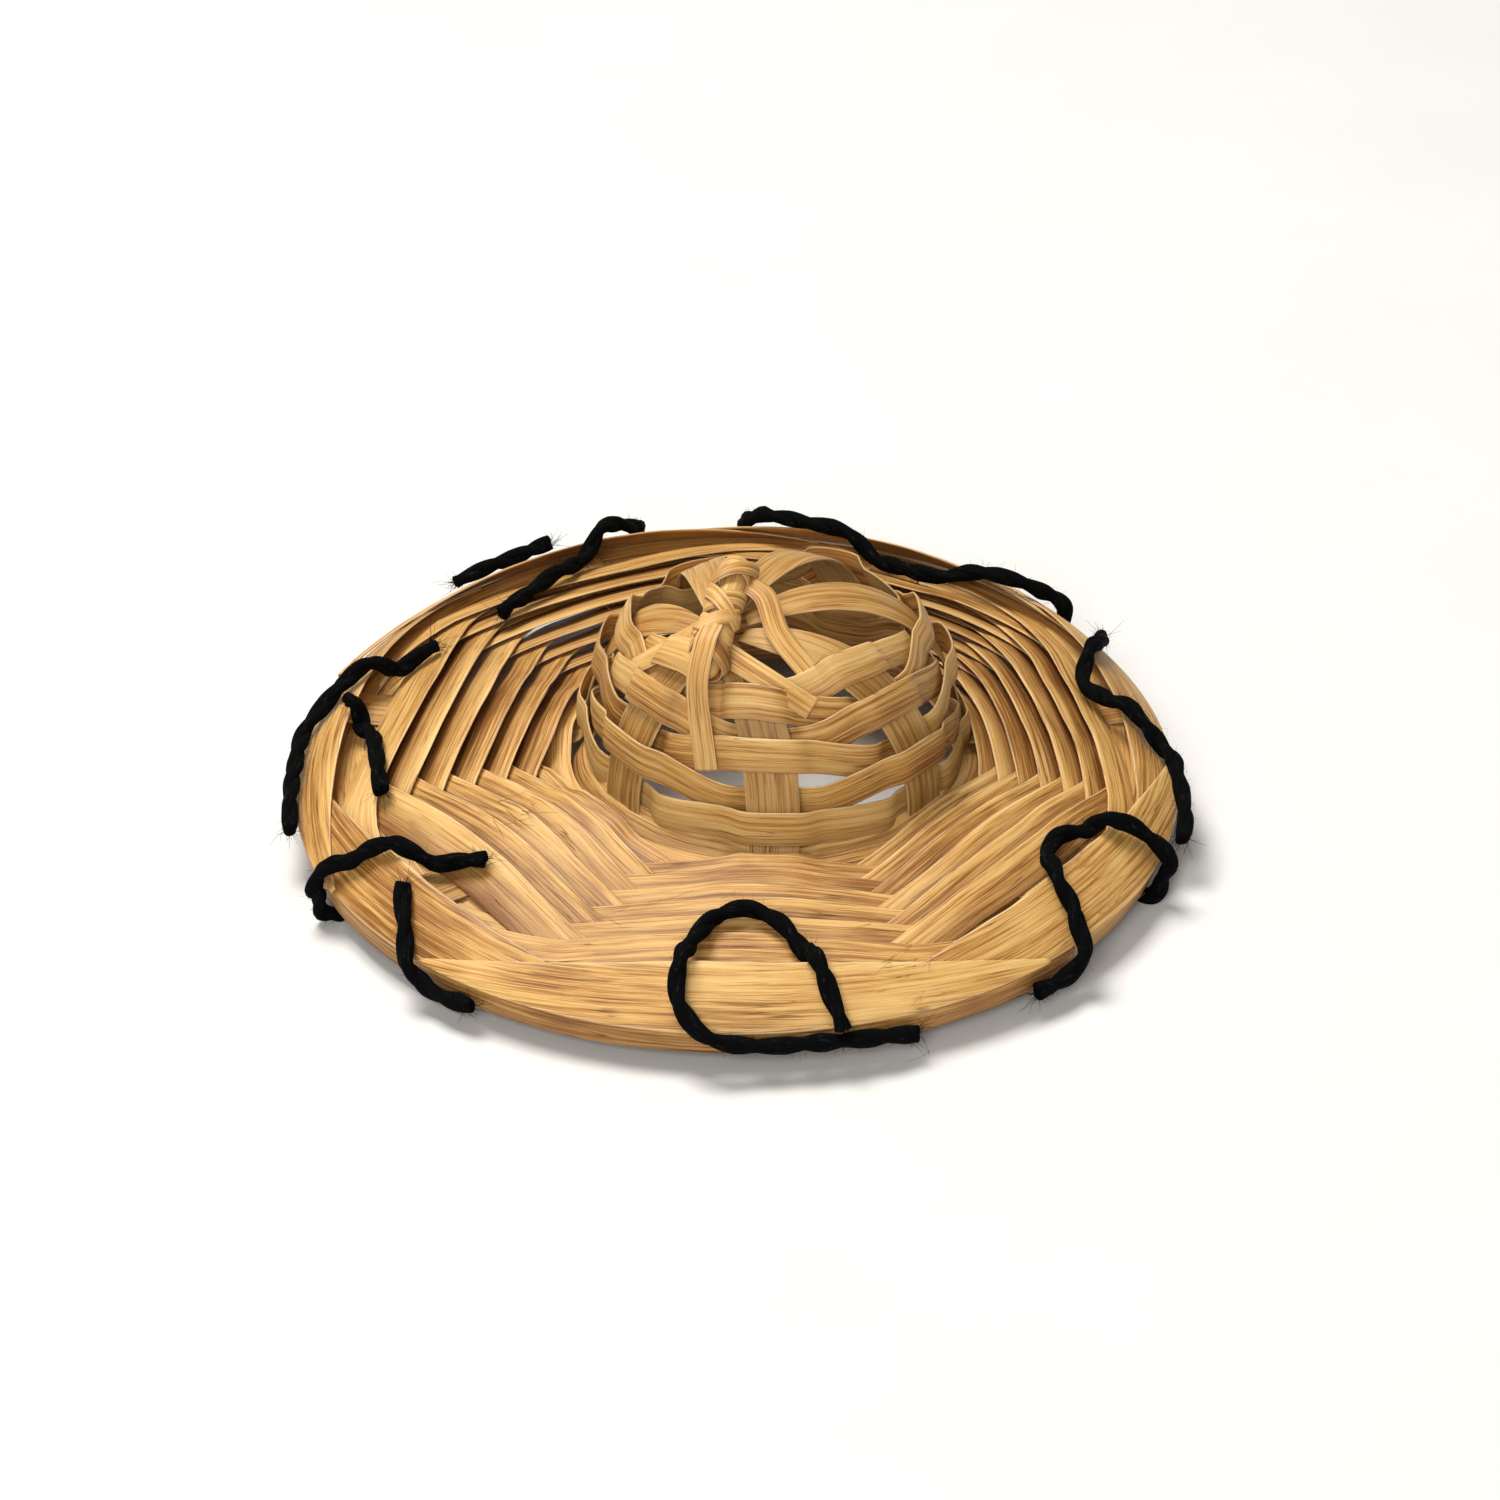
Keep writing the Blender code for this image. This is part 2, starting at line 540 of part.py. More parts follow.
def make_knot(collection):
    """The stakes' tips, gathered in a short bundle down the dome and wound with narrow splints."""
    wrap_space = CLEARANCE + SPLINT_THICKNESS + CLEARANCE
    standoff = STAKE_THICKNESS / 2 + wrap_space + KNOT_RADIUS
    lifts = np.linspace(0, KNOT_LIFT, len(KNOT_ROUTE))
    points = [on_dome(x, y, standoff + lift) for (x, y), lift in zip(KNOT_ROUTE, lifts)]
    line = smooth_route(points, KNOT_SPACING)
    ends = np.linspace(-1, 1, len(line))
    tube("knot_core", line, KNOT_RADIUS * np.sqrt(1 - KNOT_TAPER * ends**2), CANE_DARK, collection)
    ball_centre = np.array((*DOME_CENTRE, DOME_FOOT_HEIGHT))
    for i, share in enumerate(KNOT_WRAPS):
        middle = line[round(share * (len(line) - 1))]
        along = line[round(share * (len(line) - 1)) + 1] - middle
        along /= np.linalg.norm(along)
        off = (middle - ball_centre) / np.linalg.norm(middle - ball_centre)
        side = np.cross(along, off)
        rows = []
        for turn in np.linspace(KNOT_WRAP_GAP, 2 * math.pi - KNOT_WRAP_GAP, WRAP_ROWS):
            out = side * math.sin(turn) - off * math.cos(turn)
            point = middle + out * (KNOT_RADIUS + CLEARANCE + SPLINT_THICKNESS / 2)
            rows.append(row_across(point, along, KNOT_WRAP_WIDTH))
        splint(f"knot_wrap_{i + 1}", rows, SPLINT_THICKNESS, CANE, collection)


def main():
    for old in list(bpy.data.objects):
        bpy.data.objects.remove(old)
    collection = bpy.data.collections.new("plaited_hat")
    bpy.context.scene.collection.children.link(collection)
    make_stakes(collection)
    make_weaving(collection)
    make_knot(collection)
    make_hoop(collection)
    make_facings(collection)
    make_lashings(list(collection.objects), collection)


main()
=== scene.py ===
"""Looks of a miniature sun hat plaited from flat straw splints and lashed at its rim with black thread.

Every length is in metres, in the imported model's own frame: +Z up, -Y the front. The splints follow the same
weave as the model's plain strips, with the camber, grain, wavering edges and loose fibres of real straw.
"""

import logging
import math
from collections.abc import Callable, Sequence
from dataclasses import dataclass, field
from enum import Enum

import bmesh
import bpy
import numpy as np
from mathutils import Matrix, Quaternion, Vector
from mathutils.bvhtree import BVHTree


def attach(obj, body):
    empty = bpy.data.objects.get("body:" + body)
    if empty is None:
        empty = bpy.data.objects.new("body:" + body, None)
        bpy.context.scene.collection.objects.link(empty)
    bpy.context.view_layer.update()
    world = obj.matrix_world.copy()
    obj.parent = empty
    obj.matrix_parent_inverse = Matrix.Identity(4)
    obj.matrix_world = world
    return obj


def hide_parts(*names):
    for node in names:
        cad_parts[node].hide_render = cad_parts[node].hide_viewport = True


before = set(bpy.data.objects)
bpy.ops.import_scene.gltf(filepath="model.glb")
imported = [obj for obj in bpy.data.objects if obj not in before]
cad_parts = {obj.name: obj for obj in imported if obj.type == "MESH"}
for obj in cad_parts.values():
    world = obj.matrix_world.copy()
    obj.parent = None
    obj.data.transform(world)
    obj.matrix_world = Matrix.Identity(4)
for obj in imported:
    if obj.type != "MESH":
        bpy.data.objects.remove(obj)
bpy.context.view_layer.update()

BODY = "root"
TAU = 2 * math.pi
FRONT = math.radians(270)
UP = np.array((0, 0, 1.0))
UV_SPAN = 0.01  # metres of strip to one unit of its UV map
UV_SHIFT = (1.37, 0.61)  # how far apart two strips are in the grain, along and across
UNDERSIDE_SHIFT = 3  # how far a strip's underside is from its face in the grain
MERGE_DISTANCE = 1e-8

Points = np.ndarray
Colour = tuple[float, float, float]
Span = tuple[float, float]
Spot = tuple[float, float, float]
log = logging.getLogger("plaited_hat")


def unit(vector: Points) -> Points:
    """Returns the vector at length one."""
    return vector / np.linalg.norm(vector)


def polar(radius: float, angle: float, height: float) -> Points:
    """Returns the point at a radius and a bearing round the hat's middle, at a height."""
    return np.array((radius * math.cos(angle), radius * math.sin(angle), height))


def run_along(points: Points) -> Points:
    """Returns how far along the line through them each of the points is."""
    return np.concatenate(([0], np.cumsum(np.linalg.norm(np.diff(points, axis=0), axis=1))))


def directions(points: Points) -> Points:
    """Returns the unit vector along a line at each of its points."""
    along = np.gradient(points, axis=0)
    return along / np.linalg.norm(along, axis=1)[:, None]


@dataclass(frozen=True)
class Wander:
    """A smooth irregularity along a length, the same on every run.

    Attributes:
        seed: Picks the irregularity.
        size: About the most that it departs from zero.
        period: The length of its slowest swing.
    """

    seed: int
    size: float
    period: float

    def at(self, along: float | Points) -> float | Points:
        """Adds up three swings, each about twice as fast as the last.

        Args:
            along: The distance along the length, or several of them.

        Returns:
            The departure from zero there.
        """
        random = np.random.default_rng(self.seed)
        total = 0.0
        for octave in range(3):
            rate = random.uniform(0.75, 1.3) * 2**octave / self.period
            total = total + np.sin(TAU * (along * rate + random.uniform())) / (1 + octave)
        return self.size * total / 1.8


# ---------------------------------------------------------------- the surface that the splints follow
@dataclass(frozen=True)
class HatForm:
    """A dome on a wide, nearly flat brim: the middle surface of the stakes.

    Attributes:
        tilts: How far the brim's splints tilt at the front, the right, the back and the left.
    """

    stakes: int = 7
    stake_width: float = 0.0032
    stake_thickness: float = 0.0002
    dome_radius: float = 0.01075
    dome_centre: float = 0.0021
    knot_lean: float = math.radians(28.5)
    knot_bearing: float = math.radians(235)
    bend_radius: float = 0.0009
    rim_radius: float = 0.0250
    brim_top: float = 0.0041
    brim_slope: float = math.radians(2.8)
    back_rise_height: float = 0.0017
    brim_start: float = 0.0130
    brim_end: float = 0.0226
    tilts: tuple[float, ...] = tuple(math.radians(d) for d in (17, 34, 22, 30))

    @property
    def step(self) -> float:
        """The angle from one stake to the next."""
        return TAU / self.stakes

    @property
    def bend_sweep(self) -> float:
        """How far the stakes turn from the dome into the brim."""
        return math.pi / 2 - self.brim_slope

    @property
    def foot_height(self) -> float:
        """Height of the dome's foot circle, which is also the height of its centre."""
        return self.brim_top + self.bend_radius

    def profile(self, s: float) -> tuple[float, float]:
        """Finds a point of the surface's outline.

        Args:
            s: Distance along it from the dome's foot, negative up the dome.

        Returns:
            Its radius and height.
        """
        if s < 0:
            rise = -s / self.dome_radius
            return self.dome_radius * math.cos(rise), self.foot_height + self.dome_radius * math.sin(rise)
        sweep = min(s / self.bend_radius, self.bend_sweep)
        run = max(s - self.bend_radius * self.bend_sweep, 0)
        radius = self.dome_radius + self.bend_radius * (1 - math.cos(sweep)) + run * math.cos(self.brim_slope)
        return radius, self.foot_height - self.bend_radius * math.sin(sweep) - run * math.sin(self.brim_slope)

    def brim_s(self, radius: float) -> float:
        """Returns how far along the outline the brim has this radius."""
        inner = self.dome_radius + self.bend_radius
        return self.bend_radius * self.bend_sweep + (radius - inner) / math.cos(self.brim_slope)

    def stake_lean(self, rise: float) -> float:
        """Returns how far the stakes have leant towards the knot at an angle up the dome."""
        return self.knot_lean * (rise / (math.pi / 2)) ** 1.5

    def back_rise(self, radius: float, angle: float) -> float:
        """Returns how much the brim is raised at a place, the most at the back of its rim."""
        outward = (radius - self.dome_radius) / (self.rim_radius - self.dome_radius)
        return self.back_rise_height * outward * ((1 + math.sin(angle)) / 2) ** 2

    def point(self, s: float, angle: float) -> Points:
        """Finds a point of the surface.

        Args:
            s: Distance along the outline from the dome's foot.
            angle: Bearing round the hat.

        Returns:
            The point. The stakes lean over towards the knot as they climb the dome.
        """
        radius, height = self.profile(s)
        if s < 0:
            lean = self.stake_lean(-s / self.dome_radius)
            axis = Vector((-math.sin(self.knot_bearing), math.cos(self.knot_bearing), 0))
            foot = Vector((0, 0, self.foot_height))
            turned = foot + Quaternion(axis, lean) @ (Vector(polar(radius, angle, height)) - foot)
            return np.array(turned) + (self.dome_centre, 0, 0)
        share = (radius - self.dome_radius) / (self.brim_end - self.dome_radius)
        offset = self.dome_centre * max(1 - share, 0)
        return polar(radius, angle, height + self.back_rise(radius, angle)) + (offset, 0, 0)

    def axes(self, s: float, angle: float) -> tuple[Points, Points, Points]:
        """Finds the directions of the surface at a place.

        Args:
            s: Distance along the outline from the dome's foot.
            angle: Bearing round the hat.

        Returns:
            The point there, the way outward along the surface, and its normal.
        """
        small = 1e-6
        turn = small / self.rim_radius
        around = self.point(s, angle + turn) - self.point(s, angle - turn)
        normal = unit(np.cross(self.point(s + small, angle) - self.point(s - small, angle), around))
        return self.point(s, angle), unit(np.cross(around, normal)), normal

    def brim_tilt(self, angle: float) -> float:
        """Blends the brim's four tilts.

        Args:
            angle: Bearing round the hat.

        Returns:
            How far the brim's splints tilt there, inner edge up.
        """
        front, right, back, left = self.tilts
        squash = (right + left - back - front) / 4
        turning = (right - left) / 2 * math.cos(angle) + (back - front) / 2 * math.sin(angle)
        return sum(self.tilts) / 4 + turning + squash * math.cos(2 * angle)

    def stake_width_at(self, s: float) -> float:
        """Returns a stake's width: full on the brim, and narrower where the stakes draw together."""
        room = 0.8 * self.profile(s)[0] * self.step
        return 1 / math.hypot(1 / self.stake_width, 1 / room)


# ---------------------------------------------------------------- meshes
@dataclass
class Row:
    """One row across a strip.

    Attributes:
        middle: The point halfway across it.
        way: The direction from its first edge to its second.
        normal: The direction out of its face.
        width: How wide it is.
        shade: How much painted shade each edge gets, 0 to 1, by how buried it is: the first edge's, then the
            second's.
    """

    middle: Points
    way: Points
    normal: Points
    width: float
    shade: tuple[float, float] = (0.0, 0.0)


def coordinates(mesh: bpy.types.Mesh) -> Points:
    """Reads where a mesh's points are.

    Args:
        mesh: The mesh.

    Returns:
        Their coordinates, one row for each.
    """
    flat = np.empty(len(mesh.vertices) * 3, np.float32)
    mesh.vertices.foreach_get("co", flat)
    return flat.reshape(-1, 3)


def grid_mesh(name: str, points: Points, uvs: Points, values: dict[str, Points]) -> bpy.types.Mesh:
    """Wraps a grid into a closed tube with its UV map and its point values.

    Args:
        name: The mesh's name.
        points: Rows by columns by 3, the last column repeating the first.
        uvs: Rows by columns by 2.
        values: Rows by columns for each named value.

    Returns:
        The mesh, its two ends filled and its faces outwards.
    """
    rows, columns = points.shape[:2]
    bm = bmesh.new()
    bmesh.ops.create_grid(bm, x_segments=rows - 1, y_segments=columns - 1, size=1)
    mesh = bpy.data.meshes.new(name)
    bm.to_mesh(mesh)
    bm.free()
    flat = coordinates(mesh)
    row = np.rint((flat[:, 0] + 1) / 2 * (rows - 1)).astype(int)
    column = np.rint((flat[:, 1] + 1) / 2 * (columns - 1)).astype(int)
    mesh.vertices.foreach_set("co", points[row, column].astype(np.float32).ravel())
    corner = np.empty(len(mesh.loops), np.int32)
    mesh.loops.foreach_get("vertex_index", corner)
    layer = mesh.uv_layers.new(name="strip")
    layer.uv.foreach_set("vector", uvs[row, column][corner].astype(np.float32).ravel())
    for key, value in values.items():
        attribute = mesh.attributes.new(key, "FLOAT", "POINT")
        attribute.data.foreach_set("value", value[row, column].astype(np.float32))
    bm = bmesh.new()
    bm.from_mesh(mesh)
    bmesh.ops.remove_doubles(bm, verts=bm.verts, dist=MERGE_DISTANCE)
    bmesh.ops.holes_fill(bm, edges=[edge for edge in bm.edges if edge.is_boundary], sides=0)
    bmesh.ops.recalc_face_normals(bm, faces=bm.faces)
    bm.to_mesh(mesh)
    bm.free()
    mesh.shade_smooth()
    return mesh


@dataclass(frozen=True)
class StripSection:
    """The cross-section of a straw splint.

    Attributes:
        thickness: Its thickness in the middle.
        camber: How far its middle stands above its edges, as a share of its width.
        ridge: How high its lengthwise ridges are.
        ridges: How many of them there are across it.
        edge: Its thickness at its edges, as a share of the thickness in the middle.
    """

    thickness: float = 0.00016
    camber: float = 0.02
    ridge: float = 0.000012
    ridges: float = 2.5
    edge: float = 0.35

    @property
    def across(self) -> Points:
        """The places of the columns across it, from -1 to 1, closer together at its edges."""
        return np.array((-1, -0.965, -0.87, *np.linspace(-0.72, 0.72, 9), 0.87, 0.965, 1))

    def mesh(self, name: str, rows: Sequence[Row], seed: int) -> bpy.types.Mesh:
        """Builds a splint through its rows.

        Args:
            name: The mesh's name.
            rows: The rows, from one end to the other.
            seed: Picks its ridges, and its place in the grain.

        Returns:
            The closed mesh, with values for how buried it is, which sets its painted shade, and how near an
            edge, which sets its painted edge highlight.
        """
        across = self.across
        middles = np.array([row.middle for row in rows])
        ways = np.array([row.way for row in rows])
        normals = np.array([row.normal for row in rows])
        widths = np.array([row.width for row in rows])
        shades = np.array([row.shade for row in rows])
        run = run_along(middles)
        turn = Wander(seed, 0.5, 0.02).at(run)
        waves = np.sin(TAU * (across[None, :] * self.ridges / 2 + turn[:, None]))
        crown = (1 - across**2)[None, :] * self.camber * widths[:, None] + waves * self.ridge
        crown -= self.camber * widths[:, None] / 2
        half = self.thickness / 2 * (self.edge + (1 - self.edge) * np.sqrt(1 - across**4))
        base = middles[:, None] + ways[:, None] * (across[None, :] * widths[:, None] / 2)[..., None]
        top = base + normals[:, None] * (crown + half)[..., None]
        bottom = base + normals[:, None] * (crown - half)[..., None]
        points = np.concatenate((top, bottom[:, ::-1], top[:, :1]), axis=1)
        around = np.concatenate((across, across[::-1], across[:1]))
        side = np.concatenate((across * 0, across * 0 + 1, across[:1] * 0))
        length = np.repeat(run[:, None] / UV_SPAN + seed * UV_SHIFT[0], len(around), axis=1)
        breadth = around[None, :] * widths[:, None] / 2 / UV_SPAN + side[None, :] * UNDERSIDE_SHIFT
        breadth = breadth + seed * UV_SHIFT[1]
        # How buried each place is, for its painted shade, and how near an edge, for its painted edge
        # highlight.
        share = (around + 1) / 2
        shade = shades[:, :1] * (1 - share) + shades[:, 1:] * share
        values = {"buried": shade, "edge": np.repeat(np.abs(around)[None, :], len(rows), axis=0)}
        return grid_mesh(name, points, np.stack((length, breadth), axis=2), values)


def smooth_route(points: Sequence[Points], spacing: float) -> Points:
    """Draws a smooth curve through points.

    Args:
        points: The points.
        spacing: How far apart the curve's own points are.

    Returns:
        Points evenly along the curve.
    """
    padded = [2 * points[0] - points[1], *points, 2 * points[-1] - points[-2]]
    fine = []
    for a, b, c, d in zip(padded, padded[1:], padded[2:], padded[3:]):
        cubic, square = -a + 3 * b - 3 * c + d, 2 * a - 5 * b + 4 * c - d
        for u in np.linspace(0, 1, 16, endpoint=False):
            fine.append((cubic * u**3 + square * u**2 + (c - a) * u) / 2 + b)
    fine = np.array([*fine, points[-1]])
    run = run_along(fine)
    even = np.linspace(0, run[-1], max(round(run[-1] / spacing), 3) + 1)
    return np.stack([np.interp(even, run, fine[:, k]) for k in range(3)], axis=1)


def carried_frame(points: Points) -> tuple[Points, Points]:
    """Carries two axes along a route without letting them spin round it.

    Args:
        points: The route's points.

    Returns:
        The two unit vectors across the route at each point.
    """
    along = directions(points)
    first = np.empty_like(points)
    seed = UP if abs(along[0][2]) < 0.9 else np.array((1.0, 0, 0))
    first[0] = unit(seed - along[0] * (seed @ along[0]))
    for i in range(1, len(points)):
        first[i] = unit(first[i - 1] - along[i] * (first[i - 1] @ along[i]))
    return first, np.cross(along, first)


def tube_mesh(name: str, points: Points, radii: Points, sides: int, seed: int = 0) -> bpy.types.Mesh:
    """Builds a round tube along a route.

    Args:
        name: The mesh's name.
        points: The route's points.
        radii: Its radius at each of them.
        sides: How many sides it has.
        seed: Its place in the grain.

    Returns:
        The closed mesh.
    """
    first, second = carried_frame(points)
    turn = np.linspace(0, TAU, sides + 1)
    turn[-1] = 0
    offset = np.cos(turn)[None, :, None] * first[:, None] + np.sin(turn)[None, :, None] * second[:, None]
    grid = points[:, None] + offset * radii[:, None, None]
    length = np.repeat(run_along(points)[:, None] / UV_SPAN + seed * UV_SHIFT[0], sides + 1, axis=1)
    breadth = np.linspace(0, 1, sides + 1)[None, :] * TAU * radii.max() / UV_SPAN
    breadth = np.repeat(breadth, len(points), axis=0)
    zeros = np.zeros(grid.shape[:2])
    return grid_mesh(name, grid, np.stack((length, breadth), axis=2), {"buried": zeros, "edge": zeros})


class Slot(Enum):
    """The record's material slots."""

    SPLINT = "splint"
    STAKE = "stake_splint"
    THREAD = "black_thread"


def add_piece(
    name: str, mesh: bpy.types.Mesh, finish: bpy.types.Material, nodes: Sequence[str] = ()
) -> None:
    """Adds a finished piece to the hat.

    Args:
        name: The piece's name.
        mesh: Its mesh, in place.
        finish: Its material.
        nodes: The model's nodes that it replaces, if any.
    """
    piece = bpy.data.objects.new(name, mesh)
    bpy.context.scene.collection.objects.link(piece)
    mesh.materials.clear()
    mesh.materials.append(finish)
    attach(piece, BODY)
    if nodes:
        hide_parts(*nodes)
    log.info("%s: %d faces", name, len(mesh.polygons))


def joined(name: str, meshes: Sequence[bpy.types.Mesh]) -> bpy.types.Mesh:
    """Joins meshes that carry the same UV map and values, and removes them.

    Args:
        name: The joined mesh's name.
        meshes: The meshes.

    Returns:
        The joined mesh.
    """
    bm = bmesh.new()
    for mesh in meshes:
        bm.from_mesh(mesh)
        bpy.data.meshes.remove(mesh)
    made = bpy.data.meshes.new(name)
    bm.to_mesh(made)
    bm.free()
    made.shade_smooth()
    return made


# ---------------------------------------------------------------- finishes
@dataclass
class NodeTree:
    """Adds shader nodes to a tree and links them."""

    tree: bpy.types.NodeTree

    def add(self, kind: str, inputs: dict | None = None, **settings: object) -> bpy.types.Node:
        """Adds a node.

        Args:
            kind: Its type, without the ShaderNode in front.
            inputs: A value, or a socket to link from, for each named or numbered input.
            **settings: Its own settings.

        Returns:
            The node.
        """
        node = self.tree.nodes.new("ShaderNode" + kind)
        for key, value in settings.items():
            setattr(node, key, value)
        for key, value in (inputs or {}).items():
            if isinstance(value, bpy.types.NodeSocket):
                self.tree.links.new(value, node.inputs[key])
            else:
                node.inputs[key].default_value = value
        return node

    def math(self, operation: str, *values: object) -> bpy.types.NodeSocket:
        """Adds a Math node on these values or sockets, and returns its output."""
        return self.add("Math", dict(enumerate(values)), operation=operation).outputs[0]

    def blend(
        self, share: object, first: object, second: object, kind: str = "MIX"
    ) -> bpy.types.NodeSocket:
        """Adds a colour Mix node from the first colour to the second, and returns its output."""
        node = self.add("Mix", {0: share, 6: first, 7: second}, data_type="RGBA", blend_type=kind)
        return node.outputs[2]

    def spread(self, value: bpy.types.NodeSocket, span: Span, to: Span = (0, 1)) -> bpy.types.NodeSocket:
        """Adds a clamped Map Range node from one span to another, and returns its output."""
        inputs = {0: value, 1: span[0], 2: span[1], 3: to[0], 4: to[1]}
        return self.add("MapRange", inputs, clamp=True).outputs[0]

    def noise(
        self, vector: bpy.types.NodeSocket, scale: Span, detail: float = 3, roughness: float = 0.6
    ) -> bpy.types.NodeSocket:
        """Adds noise on a UV map scaled along and across, and returns its value."""
        mapped = self.add("Mapping", {0: vector, 3: (scale[0], scale[1], 1)}).outputs[0]
        return self.add("TexNoise", {0: mapped, 2: 1.0, 3: detail, 4: roughness}).outputs[0]


def group_sockets(group: bpy.types.NodeTree, inputs: dict[str, str], outputs: dict[str, str]) -> None:
    """Gives a node group its sockets.

    Args:
        group: The group.
        inputs: The kind of each named input.
        outputs: The kind of each named output.
    """
    for names, way in ((inputs, "INPUT"), (outputs, "OUTPUT")):
        for name, kind in names.items():
            group.interface.new_socket(name, in_out=way, socket_type="NodeSocket" + kind)


@dataclass(frozen=True)
class StrawGrain:
    """The fibres, streaks, blotches and cracks that all straw shares.

    The group also paints a highlight along each splint's edges, and shade where a splint is buried under its
    neighbours.

    Attributes:
        fibre_scale: How close its fibres are along and across a splint, as for the other scales.
        blotch_contrast: How strongly its blotches show.
        tone_contrast: How unlike one stretch is to the next.
        fleck_strength: How dark its flecks are.
        crack_width: The half width of a crack, in the noise that draws it.
        crack_strength: How dark its cracks are.
        edge_highlight_span: From where to where across a splint its edges get a painted highlight.
        painted_shade_span: From where to where a buried place darkens with painted shade.
    """

    fibre_scale: Span = (2.5, 160)
    streak_scale: Span = (1.1, 42)
    blotch_scale: Span = (1.6, 4)
    tone_scale: Span = (0.35, 0.6)
    fleck_scale: Span = (9, 110)
    crack_scale: Span = (0.55, 16)
    break_scale: Span = (2.2, 3)
    blotch_contrast: float = 0.9
    tone_contrast: float = 1.5
    fleck_strength: float = 0.22
    crack_width: float = 0.012
    crack_strength: float = 0.75
    crack_colour: Colour = (0.09, 0.035, 0.012)
    edge_highlight_span: Span = (0.9, 0.985)
    # The colour of the painted highlight along the edges.
    edge_highlight_colour: Colour = (0.86, 0.66, 0.38)
    painted_shade_span: Span = (0.12, 0.72)
    # The colour of the painted shade on buried places.
    painted_shade_colour: Colour = (0.26, 0.115, 0.035)

    def cracks(self, nodes: NodeTree, uv: bpy.types.NodeSocket) -> bpy.types.NodeSocket:
        """Draws the cracks, which follow the grain and break off.

        Args:
            nodes: The tree that they are drawn in.
            uv: The splint's UV map.

        Returns:
            Their mask.
        """
        drift = nodes.math("SUBTRACT", nodes.noise(uv, self.crack_scale, 2, 0.5), 0.5)
        line = nodes.spread(nodes.math("ABSOLUTE", drift), (0.0, self.crack_width), (1, 0))
        broken = nodes.spread(nodes.noise(uv, self.break_scale, 2, 0.5), (0.5, 0.62))
        return nodes.math("MULTIPLY", line, broken)

    def level(
        self, nodes: NodeTree, uv: bpy.types.NodeSocket, grain: bpy.types.NodeSocket
    ) -> bpy.types.NodeSocket:
        """Works out how pale the straw is.

        Args:
            nodes: The tree that it is worked out in.
            uv: The splint's UV map.
            grain: Its fibres and streaks.

        Returns:
            How pale it is, about 0 to 1.
        """
        level = nodes.spread(grain, (0.39, 0.62))
        for scale, detail, contrast in (
            (self.blotch_scale, 2, self.blotch_contrast), (self.tone_scale, 1, self.tone_contrast)
        ):
            drift = nodes.math("SUBTRACT", nodes.noise(uv, scale, detail, 0.5), 0.5)
            level = nodes.math("ADD", level, nodes.math("MULTIPLY", drift, contrast))
        return level

    def group(self) -> bpy.types.NodeTree:
        """Builds the shader node group.

        Returns:
            The group: from a UV map and three colours to a colour, a roughness and a height.
        """
        group = bpy.data.node_groups.new("straw_grain", "ShaderNodeTree")
        colours = dict.fromkeys(("Light", "Middle", "Dark"), "Color")
        inputs = {"UV": "Vector", **colours, "Buried": "Float", "Edge": "Float"}
        group_sockets(group, inputs, {"Color": "Color", "Roughness": "Float", "Height": "Float"})
        nodes = NodeTree(group)
        given = group.nodes.new("NodeGroupInput").outputs
        uv = given["UV"]
        fibres = nodes.noise(uv, self.fibre_scale, 4, 0.7)
        streaks = nodes.noise(uv, self.streak_scale)
        grain = nodes.math("MULTIPLY", nodes.math("ADD", fibres, streaks), 0.5)
        level = self.level(nodes, uv, grain)
        cracks = self.cracks(nodes, uv)
        flecks = nodes.spread(nodes.noise(uv, self.fleck_scale, 2), (0.66, 0.78))
        warm = nodes.blend(nodes.spread(level, (0.0, 0.55)), given["Dark"], given["Middle"])
        colour = nodes.blend(nodes.spread(level, (0.45, 1.15)), warm, given["Light"])
        colour = nodes.blend(nodes.math("MULTIPLY", flecks, self.fleck_strength), colour, given["Dark"])
        dark_cracks = nodes.math("MULTIPLY", cracks, self.crack_strength)
        colour = nodes.blend(dark_cracks, colour, (*self.crack_colour, 1))
        # Painted highlight along the edges, broken up by the fibres.
        wear_and_highlight = nodes.spread(fibres, (0.4, 0.62), (0.15, 0.6))
        pale = nodes.math("MULTIPLY", nodes.spread(given["Edge"], self.edge_highlight_span), wear_and_highlight)
        colour = nodes.blend(pale, colour, (*self.edge_highlight_colour, 1))
        # Painted shade: the more buried a place is under a neighbouring splint, the darker it is painted.
        buried = nodes.spread(given["Buried"], self.painted_shade_span)
        painted_shade_tint = nodes.blend(buried, (1, 1, 1, 1), (*self.painted_shade_colour, 1))
        colour = nodes.blend(1.0, colour, painted_shade_tint, "MULTIPLY")
        satin = nodes.spread(grain, (0.35, 0.65), (0.42, 0.6))
        rough = nodes.math("ADD", satin, nodes.math("MULTIPLY", cracks, 0.2))
        raised = nodes.math("ADD", nodes.math("MULTIPLY", fibres, 0.35), streaks)
        height = nodes.math("SUBTRACT", raised, nodes.math("MULTIPLY", cracks, 0.6))
        out = group.nodes.new("NodeGroupOutput")
        for name, socket in (("Color", colour), ("Roughness", rough), ("Height", height)):
            group.links.new(socket, out.inputs[name])
        return group


